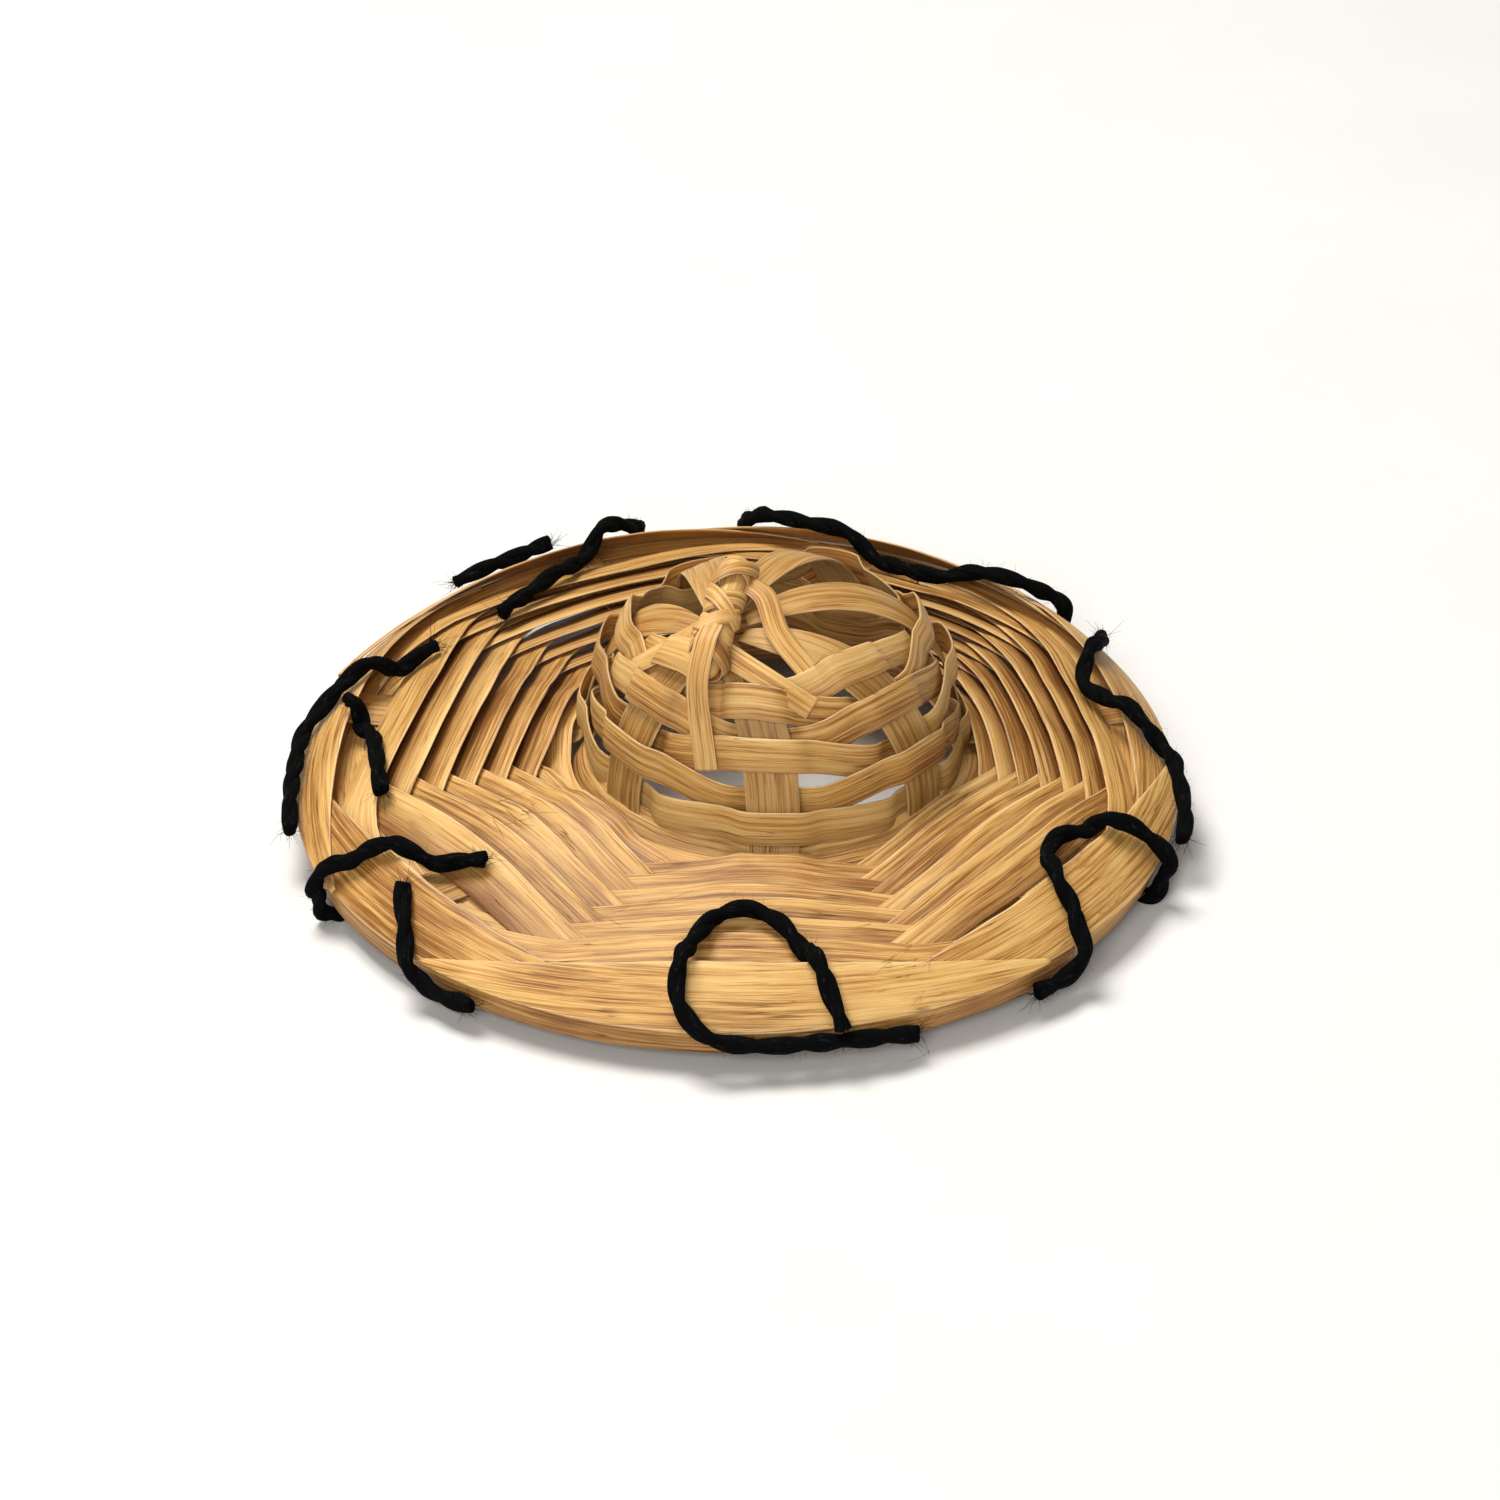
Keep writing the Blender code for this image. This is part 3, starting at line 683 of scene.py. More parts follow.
@dataclass(frozen=True)
class StrawFinish:
    """Dry golden straw with a satin face.

    Attributes:
        name: The material's name.
        light: Where the grain is palest.
        middle: Most of it.
        dark: Between its fibres and in its blotches.
        relief: How deep its grain is.
    """

    name: str
    light: Colour = (0.78, 0.52, 0.20)
    middle: Colour = (0.62, 0.33, 0.085)
    dark: Colour = (0.25, 0.09, 0.014)
    relief: float = 0.00006
    bump: float = 0.8
    specular: float = 0.42

    def material(self, grain: bpy.types.NodeTree) -> bpy.types.Material:
        """Builds the material.

        Args:
            grain: The shared group that draws the straw's grain.

        Returns:
            The material.
        """
        made = bpy.data.materials.new(self.name)
        made.use_nodes = True
        nodes = NodeTree(made.node_tree)
        shader = made.node_tree.nodes["Principled BSDF"]
        uv = nodes.add("UVMap", uv_map="strip").outputs[0]
        # How buried each place is, which sets its painted shade, and how near an edge, which sets its painted
        # highlight.
        buried = nodes.add("Attribute", attribute_name="buried").outputs["Fac"]
        edge = nodes.add("Attribute", attribute_name="edge").outputs["Fac"]
        straw = nodes.add("Group", node_tree=grain)
        for key, colour in (("Light", self.light), ("Middle", self.middle), ("Dark", self.dark)):
            straw.inputs[key].default_value = (*colour, 1)
        for key, socket in (("UV", uv), ("Buried", buried), ("Edge", edge)):
            nodes.tree.links.new(socket, straw.inputs[key])
        height = straw.outputs["Height"]
        bump = nodes.add("Bump", {"Height": height, "Strength": self.bump, "Distance": self.relief})
        nodes.tree.links.new(straw.outputs["Color"], shader.inputs["Base Color"])
        nodes.tree.links.new(straw.outputs["Roughness"], shader.inputs["Roughness"])
        nodes.tree.links.new(bump.outputs[0], shader.inputs["Normal"])
        shader.inputs["Specular IOR Level"].default_value = self.specular
        return made


@dataclass(frozen=True)
class ThreadFinish:
    """Black waxed thread, dusty and rubbed in places.

    Attributes:
        name: The material's name.
        body: Its own colour.
        wear_and_highlight: Its colour where it is rubbed.
        wear: How far it is rubbed there.
        roughness: Its roughness where its fibres are finest.
        relief: How deep its fibres are.
    """

    name: str
    body: Colour = (0.0016, 0.0018, 0.002)
    wear_and_highlight: Colour = (0.03, 0.042, 0.042)
    wear: float = 0.4
    roughness: float = 0.72
    relief: float = 0.00005
    bump: float = 0.7
    specular: float = 0.05

    def material(self) -> bpy.types.Material:
        """Builds the material."""
        made = bpy.data.materials.new(self.name)
        made.use_nodes = True
        nodes = NodeTree(made.node_tree)
        shader = made.node_tree.nodes["Principled BSDF"]
        uv = nodes.add("UVMap", uv_map="strip").outputs[0]
        fibres = nodes.noise(uv, (9, 150))
        dust = nodes.spread(nodes.noise(uv, (14, 40), 3, 0.65), (0.58, 0.72))
        colour = nodes.blend(nodes.math("MULTIPLY", dust, self.wear), (*self.body, 1), (*self.wear_and_highlight, 1))
        rough = nodes.spread(fibres, (0.3, 0.7), (self.roughness, self.roughness + 0.3))
        bump = nodes.add("Bump", {"Height": fibres, "Strength": self.bump, "Distance": self.relief})
        nodes.tree.links.new(colour, shader.inputs["Base Color"])
        nodes.tree.links.new(rough, shader.inputs["Roughness"])
        nodes.tree.links.new(bump.outputs[0], shader.inputs["Normal"])
        shader.inputs["Specular IOR Level"].default_value = self.specular
        return made


# ---------------------------------------------------------------- the plait
@dataclass
class Weave:
    """The splints that go round the stakes, over one and under the next, on the brim and up the crown.

    Attributes:
        rim_sunk: How far below the stakes the turns that line the brim's edge lie.
        rim_lean: How far they tilt, as a share of the tilt of the turns above them.
        crown_first: How many stakes along the weaving the crown starts, counted back from the brim's start.
        crown_rises: How far up the dome each turn of the crown is.
        settled_span: How far from a stake, in spans, the splint is back on the stakes' middle surface.
        slide: How far the weaving strays from its place.
        uneven: How much its width varies, as a share.
        brim_shade: How much painted shade the brim's outer edges get, by how buried they are; other shades
            are the painted shade of the two edges.
        fading_turn: The turn from which less of the brim's outer edges is buried, so that they get less
            painted shade.
    """

    form: HatForm
    finish: bpy.types.Material
    section: StripSection = StripSection()
    clearance: float = 0.00006
    brim_spans: int = 88
    brim_width: float = 0.0029
    brim_end_width: float = 0.0023
    brim_bow: float = 0.09
    rim_inside: float = 0.02475
    rim_spans: int = 21
    rim_first: float = 0.0196
    rim_last: float = 0.0234
    rim_sunk: float = 0.0004
    rim_lean: float = 0.4
    rim_width: float = 0.0026
    crown_first: int = -11
    crown_spans: int = 40
    crown_clearance: float = 0.0001
    crown_width: float = 0.0020
    crown_bow: float = 0.00075
    crown_tilt: float = math.radians(15.5)
    crown_foot_tilt: float = math.radians(-6)
    crown_settled: float = math.radians(15)
    crown_rises: tuple[float, ...] = tuple(
        math.radians(rise) for rise in (-6.4, 4.6, 14.9, 24.6, 32.8, 39.9, 47.9, 50.8)
    )
    crown_back_drop: float = 0.27
    settled_span: float = 0.3
    settling_span: float = 0.09
    spans_per_splint: int = 8
    joint: float = 0.00015
    rows_per_span: int = 20
    lean_passes: int = 20
    slide: Wander = Wander(11, 0.00009, 1.7)
    uneven: Wander = Wander(5, 0.035, 0.9)
    brim_shade: float = 0.9
    fading_turn: float = 10.5
    faded: float = 0.7
    foot_shade: Span = (0.0, 0.6)
    rim_shade: Span = (0.15, 0.3)
    crown_shade: Span = (0.0, 0.3)

    def row(self, t: float, level: float, bow: float, width: float, lean: float, room: float) -> Row:
        """Places one row of the weaving.

        Args:
            t: How many stakes along the weaving it is.
            level: The turn's distance along the hat's outline.
            bow: How far it slides along its own tilt where it passes a stake.
            width: The splint's width.
            lean: How far it tilts.
            room: What it keeps clear of a stake.

        Returns:
            The row, its first edge the inner one.
        """
        nearest = round(t)
        side = 1 if nearest % 2 == 0 else -1
        away = abs(t - nearest)
        bowed = 1 - (2 * away) ** 2
        s = level - side * bow * bowed
        point, outward, normal = self.form.axes(s, FRONT + t * self.form.step)
        radius, _ = self.form.profile(s)
        past = self.form.stake_width_at(s) / 2 / (radius * self.form.step)
        settled = max(self.settled_span, past + self.settling_span)
        fade = min(max((away - past) / (settled - past), 0), 1)
        clear = (self.form.stake_thickness + self.section.thickness) / 2
        clear = width / 2 * abs(math.sin(lean)) + clear + room
        extra = (clear - bow * math.tan(lean)) * (1 + math.cos(math.pi * fade)) / 2
        lift = side * (bow * bowed * math.tan(lean) + extra)
        way = outward * math.cos(lean) - normal * math.sin(lean)
        face = normal * math.cos(lean) + outward * math.sin(lean)
        middle = point + normal * lift + way * self.slide.at(t)
        return Row(middle, way, face, width * (1 + self.uneven.at(t)))

    def brim_row(self, t: float) -> Row:
        """Places a row of the brim's weaving.

        Args:
            t: How many stakes along the weaving it is.

        Returns:
            The row.
        """
        form = self.form
        radius = form.brim_start + (form.brim_end - form.brim_start) * t / self.brim_spans
        angle = FRONT + t * form.step
        middle = (form.brim_start + form.brim_end) / 2
        narrowing = ((radius - middle) / (form.brim_end - middle)) ** 2
        width = self.brim_width - (self.brim_width - self.brim_end_width) * narrowing
        width *= 1 - form.dome_centre / (form.brim_end - form.dome_radius) * math.cos(angle)
        tilt = form.brim_tilt(angle)
        bow = self.brim_bow * radius
        if round(t) % 2:
            bow = min(bow, self.rim_inside - self.clearance - radius - width / 2)
        else:
            bow = min(bow, radius - width / 2 * math.cos(tilt) - form.dome_radius - form.bend_radius)
        row = self.row(t, form.brim_s(radius), bow, width, tilt, self.clearance)
        fading = min(max(t / form.stakes - self.fading_turn, 0), 1)
        row.shade = (0.0, self.brim_shade - self.faded * fading)
        return row

    def foot_row(self, t: float) -> Row:
        """Places a row of the turns that join the crown to the brim, round the bend at the dome's foot.

        Args:
            t: How many stakes along the weaving it is.

        Returns:
            The row.
        """
        form = self.form
        share = (t - self.crown_first) / (1 - self.crown_first)
        level = form.brim_s(form.brim_start) * share
        lean = self.crown_foot_tilt + (form.brim_tilt(FRONT + t * form.step) - self.crown_foot_tilt) * share
        width = self.crown_width + (self.brim_end_width - self.crown_width) * share
        row = self.row(t, level, 0, width, lean, self.clearance)
        row.shade = self.foot_shade
        return row

    def rim_row(self, t: float) -> Row:
        """Places a row of the turns that line the brim's edge from below, close inside the hoop.

        Args:
            t: How many stakes along the weaving it is.

        Returns:
            The row.
        """
        form = self.form
        share = (t - self.brim_spans - 1) / self.rim_spans
        radius = self.rim_first + (self.rim_last - self.rim_first) * share
        lean = form.brim_tilt(FRONT + t * form.step) * self.rim_lean
        point, outward, normal = form.axes(form.brim_s(radius), FRONT + t * form.step)
        way = outward * math.cos(lean) - normal * math.sin(lean)
        face = normal * math.cos(lean) + outward * math.sin(lean)
        return Row(point - normal * self.rim_sunk, way, face, self.rim_width, self.rim_shade)

    def crown_row(self, t: float) -> Row:
        """Places a row of the crown's weaving, which keeps level while the stakes lean.

        Args:
            t: How many stakes along the weaving it is.

        Returns:
            The row.
        """
        form = self.form
        turns = -t / form.stakes - 1
        angle = FRONT + t * form.step
        drop = 1 - self.crown_back_drop * ((1 + math.sin(angle)) / 2) ** 4
        rise = level = float(np.interp(turns, range(len(self.crown_rises)), self.crown_rises)) * drop
        for _ in range(self.lean_passes):
            rise = level + form.stake_lean(max(rise, 0)) * math.cos(angle - form.knot_bearing)
        settled = min(max(level / self.crown_settled, 0), 1)
        lean = self.crown_foot_tilt + (self.crown_tilt - self.crown_foot_tilt) * settled
        s = -rise * form.dome_radius
        room = self.crown_clearance + self.crown_width**2 / (2 * form.profile(s)[0])
        row = self.row(t, s, self.crown_bow * settled, self.crown_width, lean, room)
        row.shade = self.crown_shade
        return row

    def lay(self, name: str, row_at: Callable[[float], Row], start: int, seed: int, spans: int) -> None:
        """Builds one splint of the weaving, in place of the model's node of that name if it has one.

        Args:
            name: The splint's name.
            row_at: Finds its row at a number of stakes along the weaving.
            start: The stake that it starts at.
            seed: Picks its irregularities.
            spans: How many stakes it passes.
        """
        stops = np.linspace(start, start + spans, spans * self.rows_per_span + 1)
        step = np.linalg.norm(row_at(stops[1]).middle - row_at(stops[0]).middle)
        gap = self.joint / step / self.rows_per_span
        stops[0] += gap
        stops[-1] -= gap
        mesh = self.section.mesh(name, [row_at(t) for t in stops], seed)
        nodes = [name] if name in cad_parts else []
        add_piece(mesh.name + "_straw", mesh, self.finish, nodes)

    def build(self) -> None:
        """Builds every splint of the weaving."""
        step = self.spans_per_splint
        for i in range(self.brim_spans // step):
            self.lay(f"brim_weaver_{i + 1:02d}", self.brim_row, 1 + i * step, 20 + i, step)
        for i in range(self.crown_spans // step):
            start = self.crown_first - (i + 1) * step
            self.lay(f"crown_weaver_{i + 1}", self.crown_row, start, 50 + i, step)
        self.lay("foot_weaver", self.foot_row, self.crown_first, 60, 1 - self.crown_first)
        self.lay("rim_weaver", self.rim_row, 1 + self.brim_spans, 61, self.rim_spans)


@dataclass
class Stakes:
    """The seven splints that the weaving goes round, from the knot out to the rim."""

    form: HatForm
    finish: bpy.types.Material
    section: StripSection = StripSection(thickness=0.0002, camber=0.01)
    knot_clear_radius: float = 0.0012
    end_radius: float = 0.0231
    rows: int = 90
    unevenness: float = 0.03
    # Painted shade over the whole stake, which runs under the weaving.
    shade: Span = (0.25, 0.25)

    def build(self) -> None:
        """Builds the stakes."""
        form = self.form
        top = -form.dome_radius * math.acos(self.knot_clear_radius / form.dome_radius)
        for i in range(form.stakes):
            rows = []
            for s in np.linspace(top, form.brim_s(self.end_radius), self.rows):
                angle = FRONT + i * form.step
                point, outward, normal = form.axes(s, angle)
                width = form.stake_width_at(s) * (1 + Wander(70 + i, self.unevenness, 0.01).at(s))
                around = unit(np.cross(normal, outward))
                rows.append(Row(point, around, normal, width, self.shade))
            name = f"stake_{i + 1}"
            mesh = self.section.mesh(name, rows, 80 + i)
            add_piece(name + "_straw", mesh, self.finish, [name])


@dataclass
class Rim:
    """The hoop round the rim, and the facings that lap each other over the brim's outermost turns.

    Attributes:
        hoop_spiral: How much further out the hoop ends than it starts, so that its ends lap.
        half_angle: The angle from a facing's middle to each of its points.
        taper: How much narrower a facing is at its points, as a share.
        step: How far a facing's points stand above and below its middle, to lap its neighbours.
    """

    form: HatForm
    finish: bpy.types.Material
    section: StripSection = StripSection(camber=0.03)
    hoop_height: float = 0.00145
    hoop_thickness: float = 0.00018
    hoop_inset: float = 0.0001
    hoop_foot: float = 0.0011
    hoop_start: float = math.radians(310)
    hoop_lap: float = math.radians(7)
    hoop_spiral: float = 0.0004
    hoop_rows: int = 360
    hoop_waver: Wander = Wander(3, 0.00005, 1.0)
    # Painted shade on the hoop's two edges.
    hoop_shade: Span = (0.2, 0.5)
    half_angle: float = math.radians(42)
    top: float = 0.0050
    inner_radius: float = 0.0222
    foot: float = 0.0024
    overhang: float = 0.0002
    taper: float = 0.93
    step: float = 0.00032
    facing_rows: int = 121
    facing_waver: float = 0.02
    # Painted shade on the facings' two edges.
    facing_shade: Span = (0.0, 0.1)

    def hoop(self) -> None:
        """Builds the hoop."""
        rows = []
        for share in np.linspace(0, 1, self.hoop_rows):
            angle = self.hoop_start + share * (TAU + self.hoop_lap)
            radius = self.form.rim_radius - self.hoop_inset + (share - 0.5) * self.hoop_spiral
            low = self.hoop_foot + self.form.back_rise(self.form.rim_radius, angle)
            low += self.hoop_waver.at(angle)
            middle = polar(radius, angle, low + self.hoop_height / 2)
            rows.append(Row(middle, -UP, polar(1, angle, 0), self.hoop_height, self.hoop_shade))
        section = StripSection(thickness=self.hoop_thickness, camber=0.02)
        mesh = section.mesh("rim_hoop", rows, 91)
        add_piece("rim_hoop_straw", mesh, self.finish, ["rim_hoop"])

    def facings(self) -> None:
        """Builds the facings."""
        count = self.form.stakes
        for i in range(count):
            rows = []
            for away in np.linspace(-1, 1, self.facing_rows):
                angle = FRONT + i * self.form.step + away * self.half_angle
                step = {0: away**2, count - 1: -(away**2)}.get(i, away * abs(away))
                off = polar(1, angle, 1) / math.sqrt(2) * step * self.step
                rise = self.form.back_rise(self.form.rim_radius, angle)
                low = polar(self.form.rim_radius + self.overhang, angle, self.foot + rise)
                high = polar(self.inner_radius, angle, self.top + rise)
                high = low + (high - low) * (1 - self.taper * away**2)
                high = high + (high - low) * Wander(30 + i, self.facing_waver, 0.8).at(away)
                way = unit(low - high)
                around = np.array((-math.sin(angle), math.cos(angle), 0))
                width = float(np.linalg.norm(low - high))
                middle = (high + low) / 2 + off
                rows.append(Row(middle, way, unit(np.cross(way, around)), width, self.facing_shade))
            name = f"rim_facing_{i + 1}"
            mesh = self.section.mesh(name, rows, 100 + i)
            add_piece(name + "_straw", mesh, self.finish, [name])

    def build(self) -> None:
        """Builds the rim."""
        self.hoop()
        self.facings()


@dataclass
class Knot:
    """The stakes' tips gathered in a short bundle that lies down the crown, wound with narrow splints.

    Attributes:
        route: Places on the dome, across and along the hat, that the bundle passes over.
        lift: How far its lower end stands up.
        wraps: Where along it each wrap is.
        crossings: For each splint that crosses the wraps, where along the bundle it starts and ends, the
            angle round it that it starts at, and how far round it goes.
        tail_routes: For each loose end, the places on the dome that it passes over, and its height there.
    """

    form: HatForm
    core_finish: bpy.types.Material
    wrap_finish: bpy.types.Material
    route: tuple[tuple[float, float], ...] = (
        (0.0001, -0.0010), (-0.0004, -0.0033), (-0.0010, -0.0051), (-0.0013, -0.0066), (-0.0018, -0.0078)
    )
    spacing: float = 0.0001
    radius: float = 0.0008
    lift: float = 0.0005
    wraps: tuple[float, ...] = (0.12, 0.4, 0.62, 0.84)
    wrap_width: float = 0.0013
    wrap_gap: float = 0.02
    wrap_skew: float = 0.00045
    wrap_rows: int = 60
    section: StripSection = StripSection(camber=0.04)
    loop_width: float = 0.0009
    loop_rows: int = 50
    crossings: tuple[tuple[float, float, float, float], ...] = (
        (0.02, 0.34, -1.7, 3.3), (0.62, 0.26, -1.6, 3.2), (0.50, 0.80, -1.5, 3.1), (0.92, 0.66, -1.7, 3.2)
    )
    tail_width: float = 0.0013
    tail_routes: tuple[tuple[Spot, ...], ...] = (
        (
            (-0.0013, -0.0058, 0.0012), (0.0002, -0.0068, 0.0009), (0.0020, -0.0077, 0.0007),
            (0.0042, -0.0082, 0.0003),
        ),
        (
            (-0.0012, -0.0062, 0.0026), (-0.0017, -0.0074, 0.0028), (-0.0021, -0.0085, 0.0019),
            (-0.0016, -0.0096, 0.0003),
        ),
        (
            (-0.0008, -0.0045, 0.0011), (-0.0026, -0.0046, 0.0009), (-0.0046, -0.0040, 0.0004),
            (-0.0058, -0.0030, 0.0),
        ),
        (
            (0.0002, -0.0020, 0.0013), (0.0016, -0.0034, 0.0012), (0.0024, -0.0052, 0.0006),
            (0.0040, -0.0066, 0.0002),
        ),
    )
    clearance: float = 0.00006
    # Painted shade on the wraps, loops and tails.
    wrap_shade: Span = (0.1, 0.1)
    loop_shade: Span = (0.05, 0.05)

    @property
    def centre(self) -> Points:
        """The dome's centre."""
        return np.array((self.form.dome_centre, 0, self.form.foot_height))

    def over_dome(self, x: float, y: float, standoff: float) -> Points:
        """Finds a point over the dome.

        Args:
            x: Its place across the hat.
            y: Its place along the hat.
            standoff: How far off the stakes' middle surface it stands.

        Returns:
            The point.
        """
        across = np.array((x - self.form.dome_centre, y))
        radius = self.form.dome_radius + standoff
        return np.array((x, y, self.form.foot_height + math.sqrt(radius**2 - across @ across)))

    def wind(self, line: Points) -> None:
        """Builds the wraps round the bundle.

        Args:
            line: The bundle's middle line.
        """
        for i, share in enumerate(self.wraps):
            place = round(share * (len(line) - 1))
            middle = line[place]
            along = unit(line[place + 1] - middle)
            off = unit(middle - self.centre)
            side = np.cross(along, off)
            rows = []
            for turn in np.linspace(self.wrap_gap, TAU - self.wrap_gap, self.wrap_rows):
                out = side * math.sin(turn) - off * math.cos(turn)
                point = middle + out * (self.radius + self.clearance + self.section.thickness / 2)
                point = point + along * self.wrap_skew * math.cos(turn + i) * (-1) ** i
                rows.append(Row(point, along, out, self.wrap_width, self.wrap_shade))
            name = f"knot_wrap_{i + 1}"
            mesh = self.section.mesh(name, rows, 130 + i)
            add_piece(name + "_straw", mesh, self.wrap_finish, [name])

    def cross(self, line: Points) -> None:
        """Builds the splints that cross over the wraps, from one side of the bundle to the other.

        Args:
            line: The bundle's middle line.
        """
        standoff = self.radius + self.clearance + self.section.thickness * 2
        for i, (start, end, turn, sweep) in enumerate(self.crossings):
            rows = []
            for share in np.linspace(0, 1, self.loop_rows):
                place = (start + (end - start) * share) * (len(line) - 2)
                low = int(place)
                middle = line[low] + (line[low + 1] - line[low]) * (place - low)
                along = unit(line[low + 1] - line[low])
                off = unit(middle - self.centre)
                side = np.cross(along, off)
                angle = turn + sweep * share
                out = side * math.sin(angle) + off * math.cos(angle)
                around = side * math.cos(angle) - off * math.sin(angle)
                run = unit(along * (end - start) * len(line) * self.spacing + around * sweep * self.radius)
                point = middle + out * standoff
                rows.append(Row(point, np.cross(out, run), out, self.loop_width, self.loop_shade))
            mesh = self.section.mesh(f"knot_loop_{i + 1}", rows, 140 + i)
            add_piece(mesh.name + "_straw", mesh, self.wrap_finish)

    def tails(self) -> None:
        """Builds the ends that run from the bundle down the dome and tuck in behind the weaving."""
        for i, route in enumerate(self.tail_routes):
            points = smooth_route([self.over_dome(x, y, off) for x, y, off in route], self.spacing)
            rows = []
            for k, (point, along) in enumerate(zip(points, np.gradient(points, axis=0))):
                swell = math.sin(math.pi * min(k / len(points) + 0.25, 0.5))
                side = unit(np.cross(unit(point - self.centre), along))
                width = self.tail_width * (0.55 + 0.45 * swell)
                rows.append(Row(point, side, unit(np.cross(along, side)), width, self.wrap_shade))
            mesh = self.section.mesh(f"knot_tail_{i + 1}", rows, 150 + i)
            add_piece(mesh.name + "_straw", mesh, self.wrap_finish)

    def build(self) -> None:
        """Builds the bundle and everything wound round it."""
        standoff = self.form.stake_thickness / 2 + 2 * self.clearance + self.section.thickness + self.radius
        lifts = np.linspace(0, self.lift, len(self.route))
        points = [self.over_dome(x, y, standoff + lift) for (x, y), lift in zip(self.route, lifts)]
        line = smooth_route(points, self.spacing)
        ends = np.linspace(-1, 1, len(line))
        core = tube_mesh("knot_core", line, self.radius * np.sqrt(1.0001 - ends**10), 16, 120)
        add_piece("knot_core_straw", core, self.core_finish, ["knot_core"])
        self.wind(line)
        self.cross(line)
        self.tails()


# ---------------------------------------------------------------- thread
class Lie(Enum):
    """How a thread lies at a stop of its route."""

    OVER = "on the plaiting, at a share of the rim's radius"
    BESIDE = "against the rim from outside, at a share of the facings' height"
    UNDER = "on the ground, at a share of the rim's radius"


Route = Sequence[tuple[float, Lie, float]]
O, B, U = Lie.OVER, Lie.BESIDE, Lie.UNDER
LASHING_ROUTES: dict[str, Route] = {
    "front": (
        (292.0, B, 0.31), (288.5, B, 0.36), (283.8, B, 0.39), (278.4, B, 0.41), (273.2, B, 0.41),
        (268.7, B, 0.47), (266.0, B, 0.57), (263.8, O, 1.0), (262.7, O, 0.97), (262.6, O, 0.93),
        (263.3, O, 0.87), (265.0, O, 0.78), (267.9, O, 0.73), (271.3, O, 0.716), (274.7, O, 0.73),
        (277.7, O, 0.78), (280.0, O, 0.85), (281.2, O, 0.93), (282.0, O, 0.985), (282.3, O, 1.0),
        (282.8, B, 0.54),
    ),
    "right_front": (
        (338.6, U, 0.93), (338.6, U, 1.0), (338.6, B, 0.3), (338.8, B, 0.6), (338.8, O, 0.98),
        (337.0, O, 0.93), (334.0, O, 0.87), (330.5, O, 0.825), (326.6, O, 0.825), (322.0, O, 0.87),
        (319.6, O, 0.92), (319.0, O, 0.97), (317.9, O, 1.0), (316.8, B, 0.5), (315.4, B, 0.34),
        (312.6, B, 0.29), (309.0, B, 0.31),
    ),
    "right": (
        (28.0, O, 0.98), (24.5, O, 0.94), (20.3, O, 0.88), (16.5, O, 0.84), (12.5, O, 0.83),
        (8.1, O, 0.865), (3.5, O, 0.92), (359.5, O, 0.98), (354.4, B, 0.72), (348.3, B, 0.6),
        (344.5, B, 0.5),
    ),
    "back_right": (
        (89.0, U, 0.93), (89.0, U, 1.0), (89.0, B, 0.4), (88.5, O, 0.99), (85.0, O, 0.92), (79.1, O, 0.89),
        (72.0, O, 0.87), (66.0, O, 0.84), (61.0, O, 0.83), (55.5, O, 0.85), (49.5, O, 0.88),
        (44.5, O, 0.92), (41.6, O, 0.97), (40.5, B, 0.6), (40.0, B, 0.3), (40.0, U, 1.0), (40.0, U, 0.93),
    ),
    "back_left": (
        (138.0, O, 0.75), (132.4, O, 0.76), (127.0, O, 0.77), (122.0, O, 0.79), (116.5, O, 0.84),
        (111.5, O, 0.89), (107.0, O, 0.94), (104.5, O, 0.99), (103.5, B, 0.5), (103.5, U, 1.0),
        (103.5, U, 0.93),
    ),
    "back_left_end": (
        (119.0, O, 0.94), (121.5, O, 0.97), (124.5, O, 1.0), (128.0, B, 0.75), (132.0, B, 0.62),
    ),
    "left": (
        (195.0, B, 0.6), (187.5, B, 0.66), (180.2, B, 0.7), (174.6, O, 1.0), (170.6, O, 0.97),
        (167.0, O, 0.93), (163.5, O, 0.88), (159.5, O, 0.84), (156.0, O, 0.81), (153.5, O, 0.785),
    ),
    "left_end": (
        (173.5, O, 0.9), (175.5, O, 0.86), (179.5, O, 0.83), (185.0, O, 0.82), (190.9, O, 0.82),
        (195.5, O, 0.825),
    ),
    "left_front": (
        (206.0, U, 0.93), (206.0, U, 1.0), (206.3, B, 0.4), (207.0, O, 1.0), (208.5, O, 0.97),
        (210.6, O, 0.92), (213.5, O, 0.87), (217.0, O, 0.82), (220.5, O, 0.78), (223.5, O, 0.755),
    ),
    "left_front_end": (
        (219.5, O, 0.935), (221.6, O, 0.965), (224.2, O, 0.995), (226.8, B, 0.55), (228.8, B, 0.37),
        (231.2, B, 0.29), (236.7, B, 0.33),
    ),
}


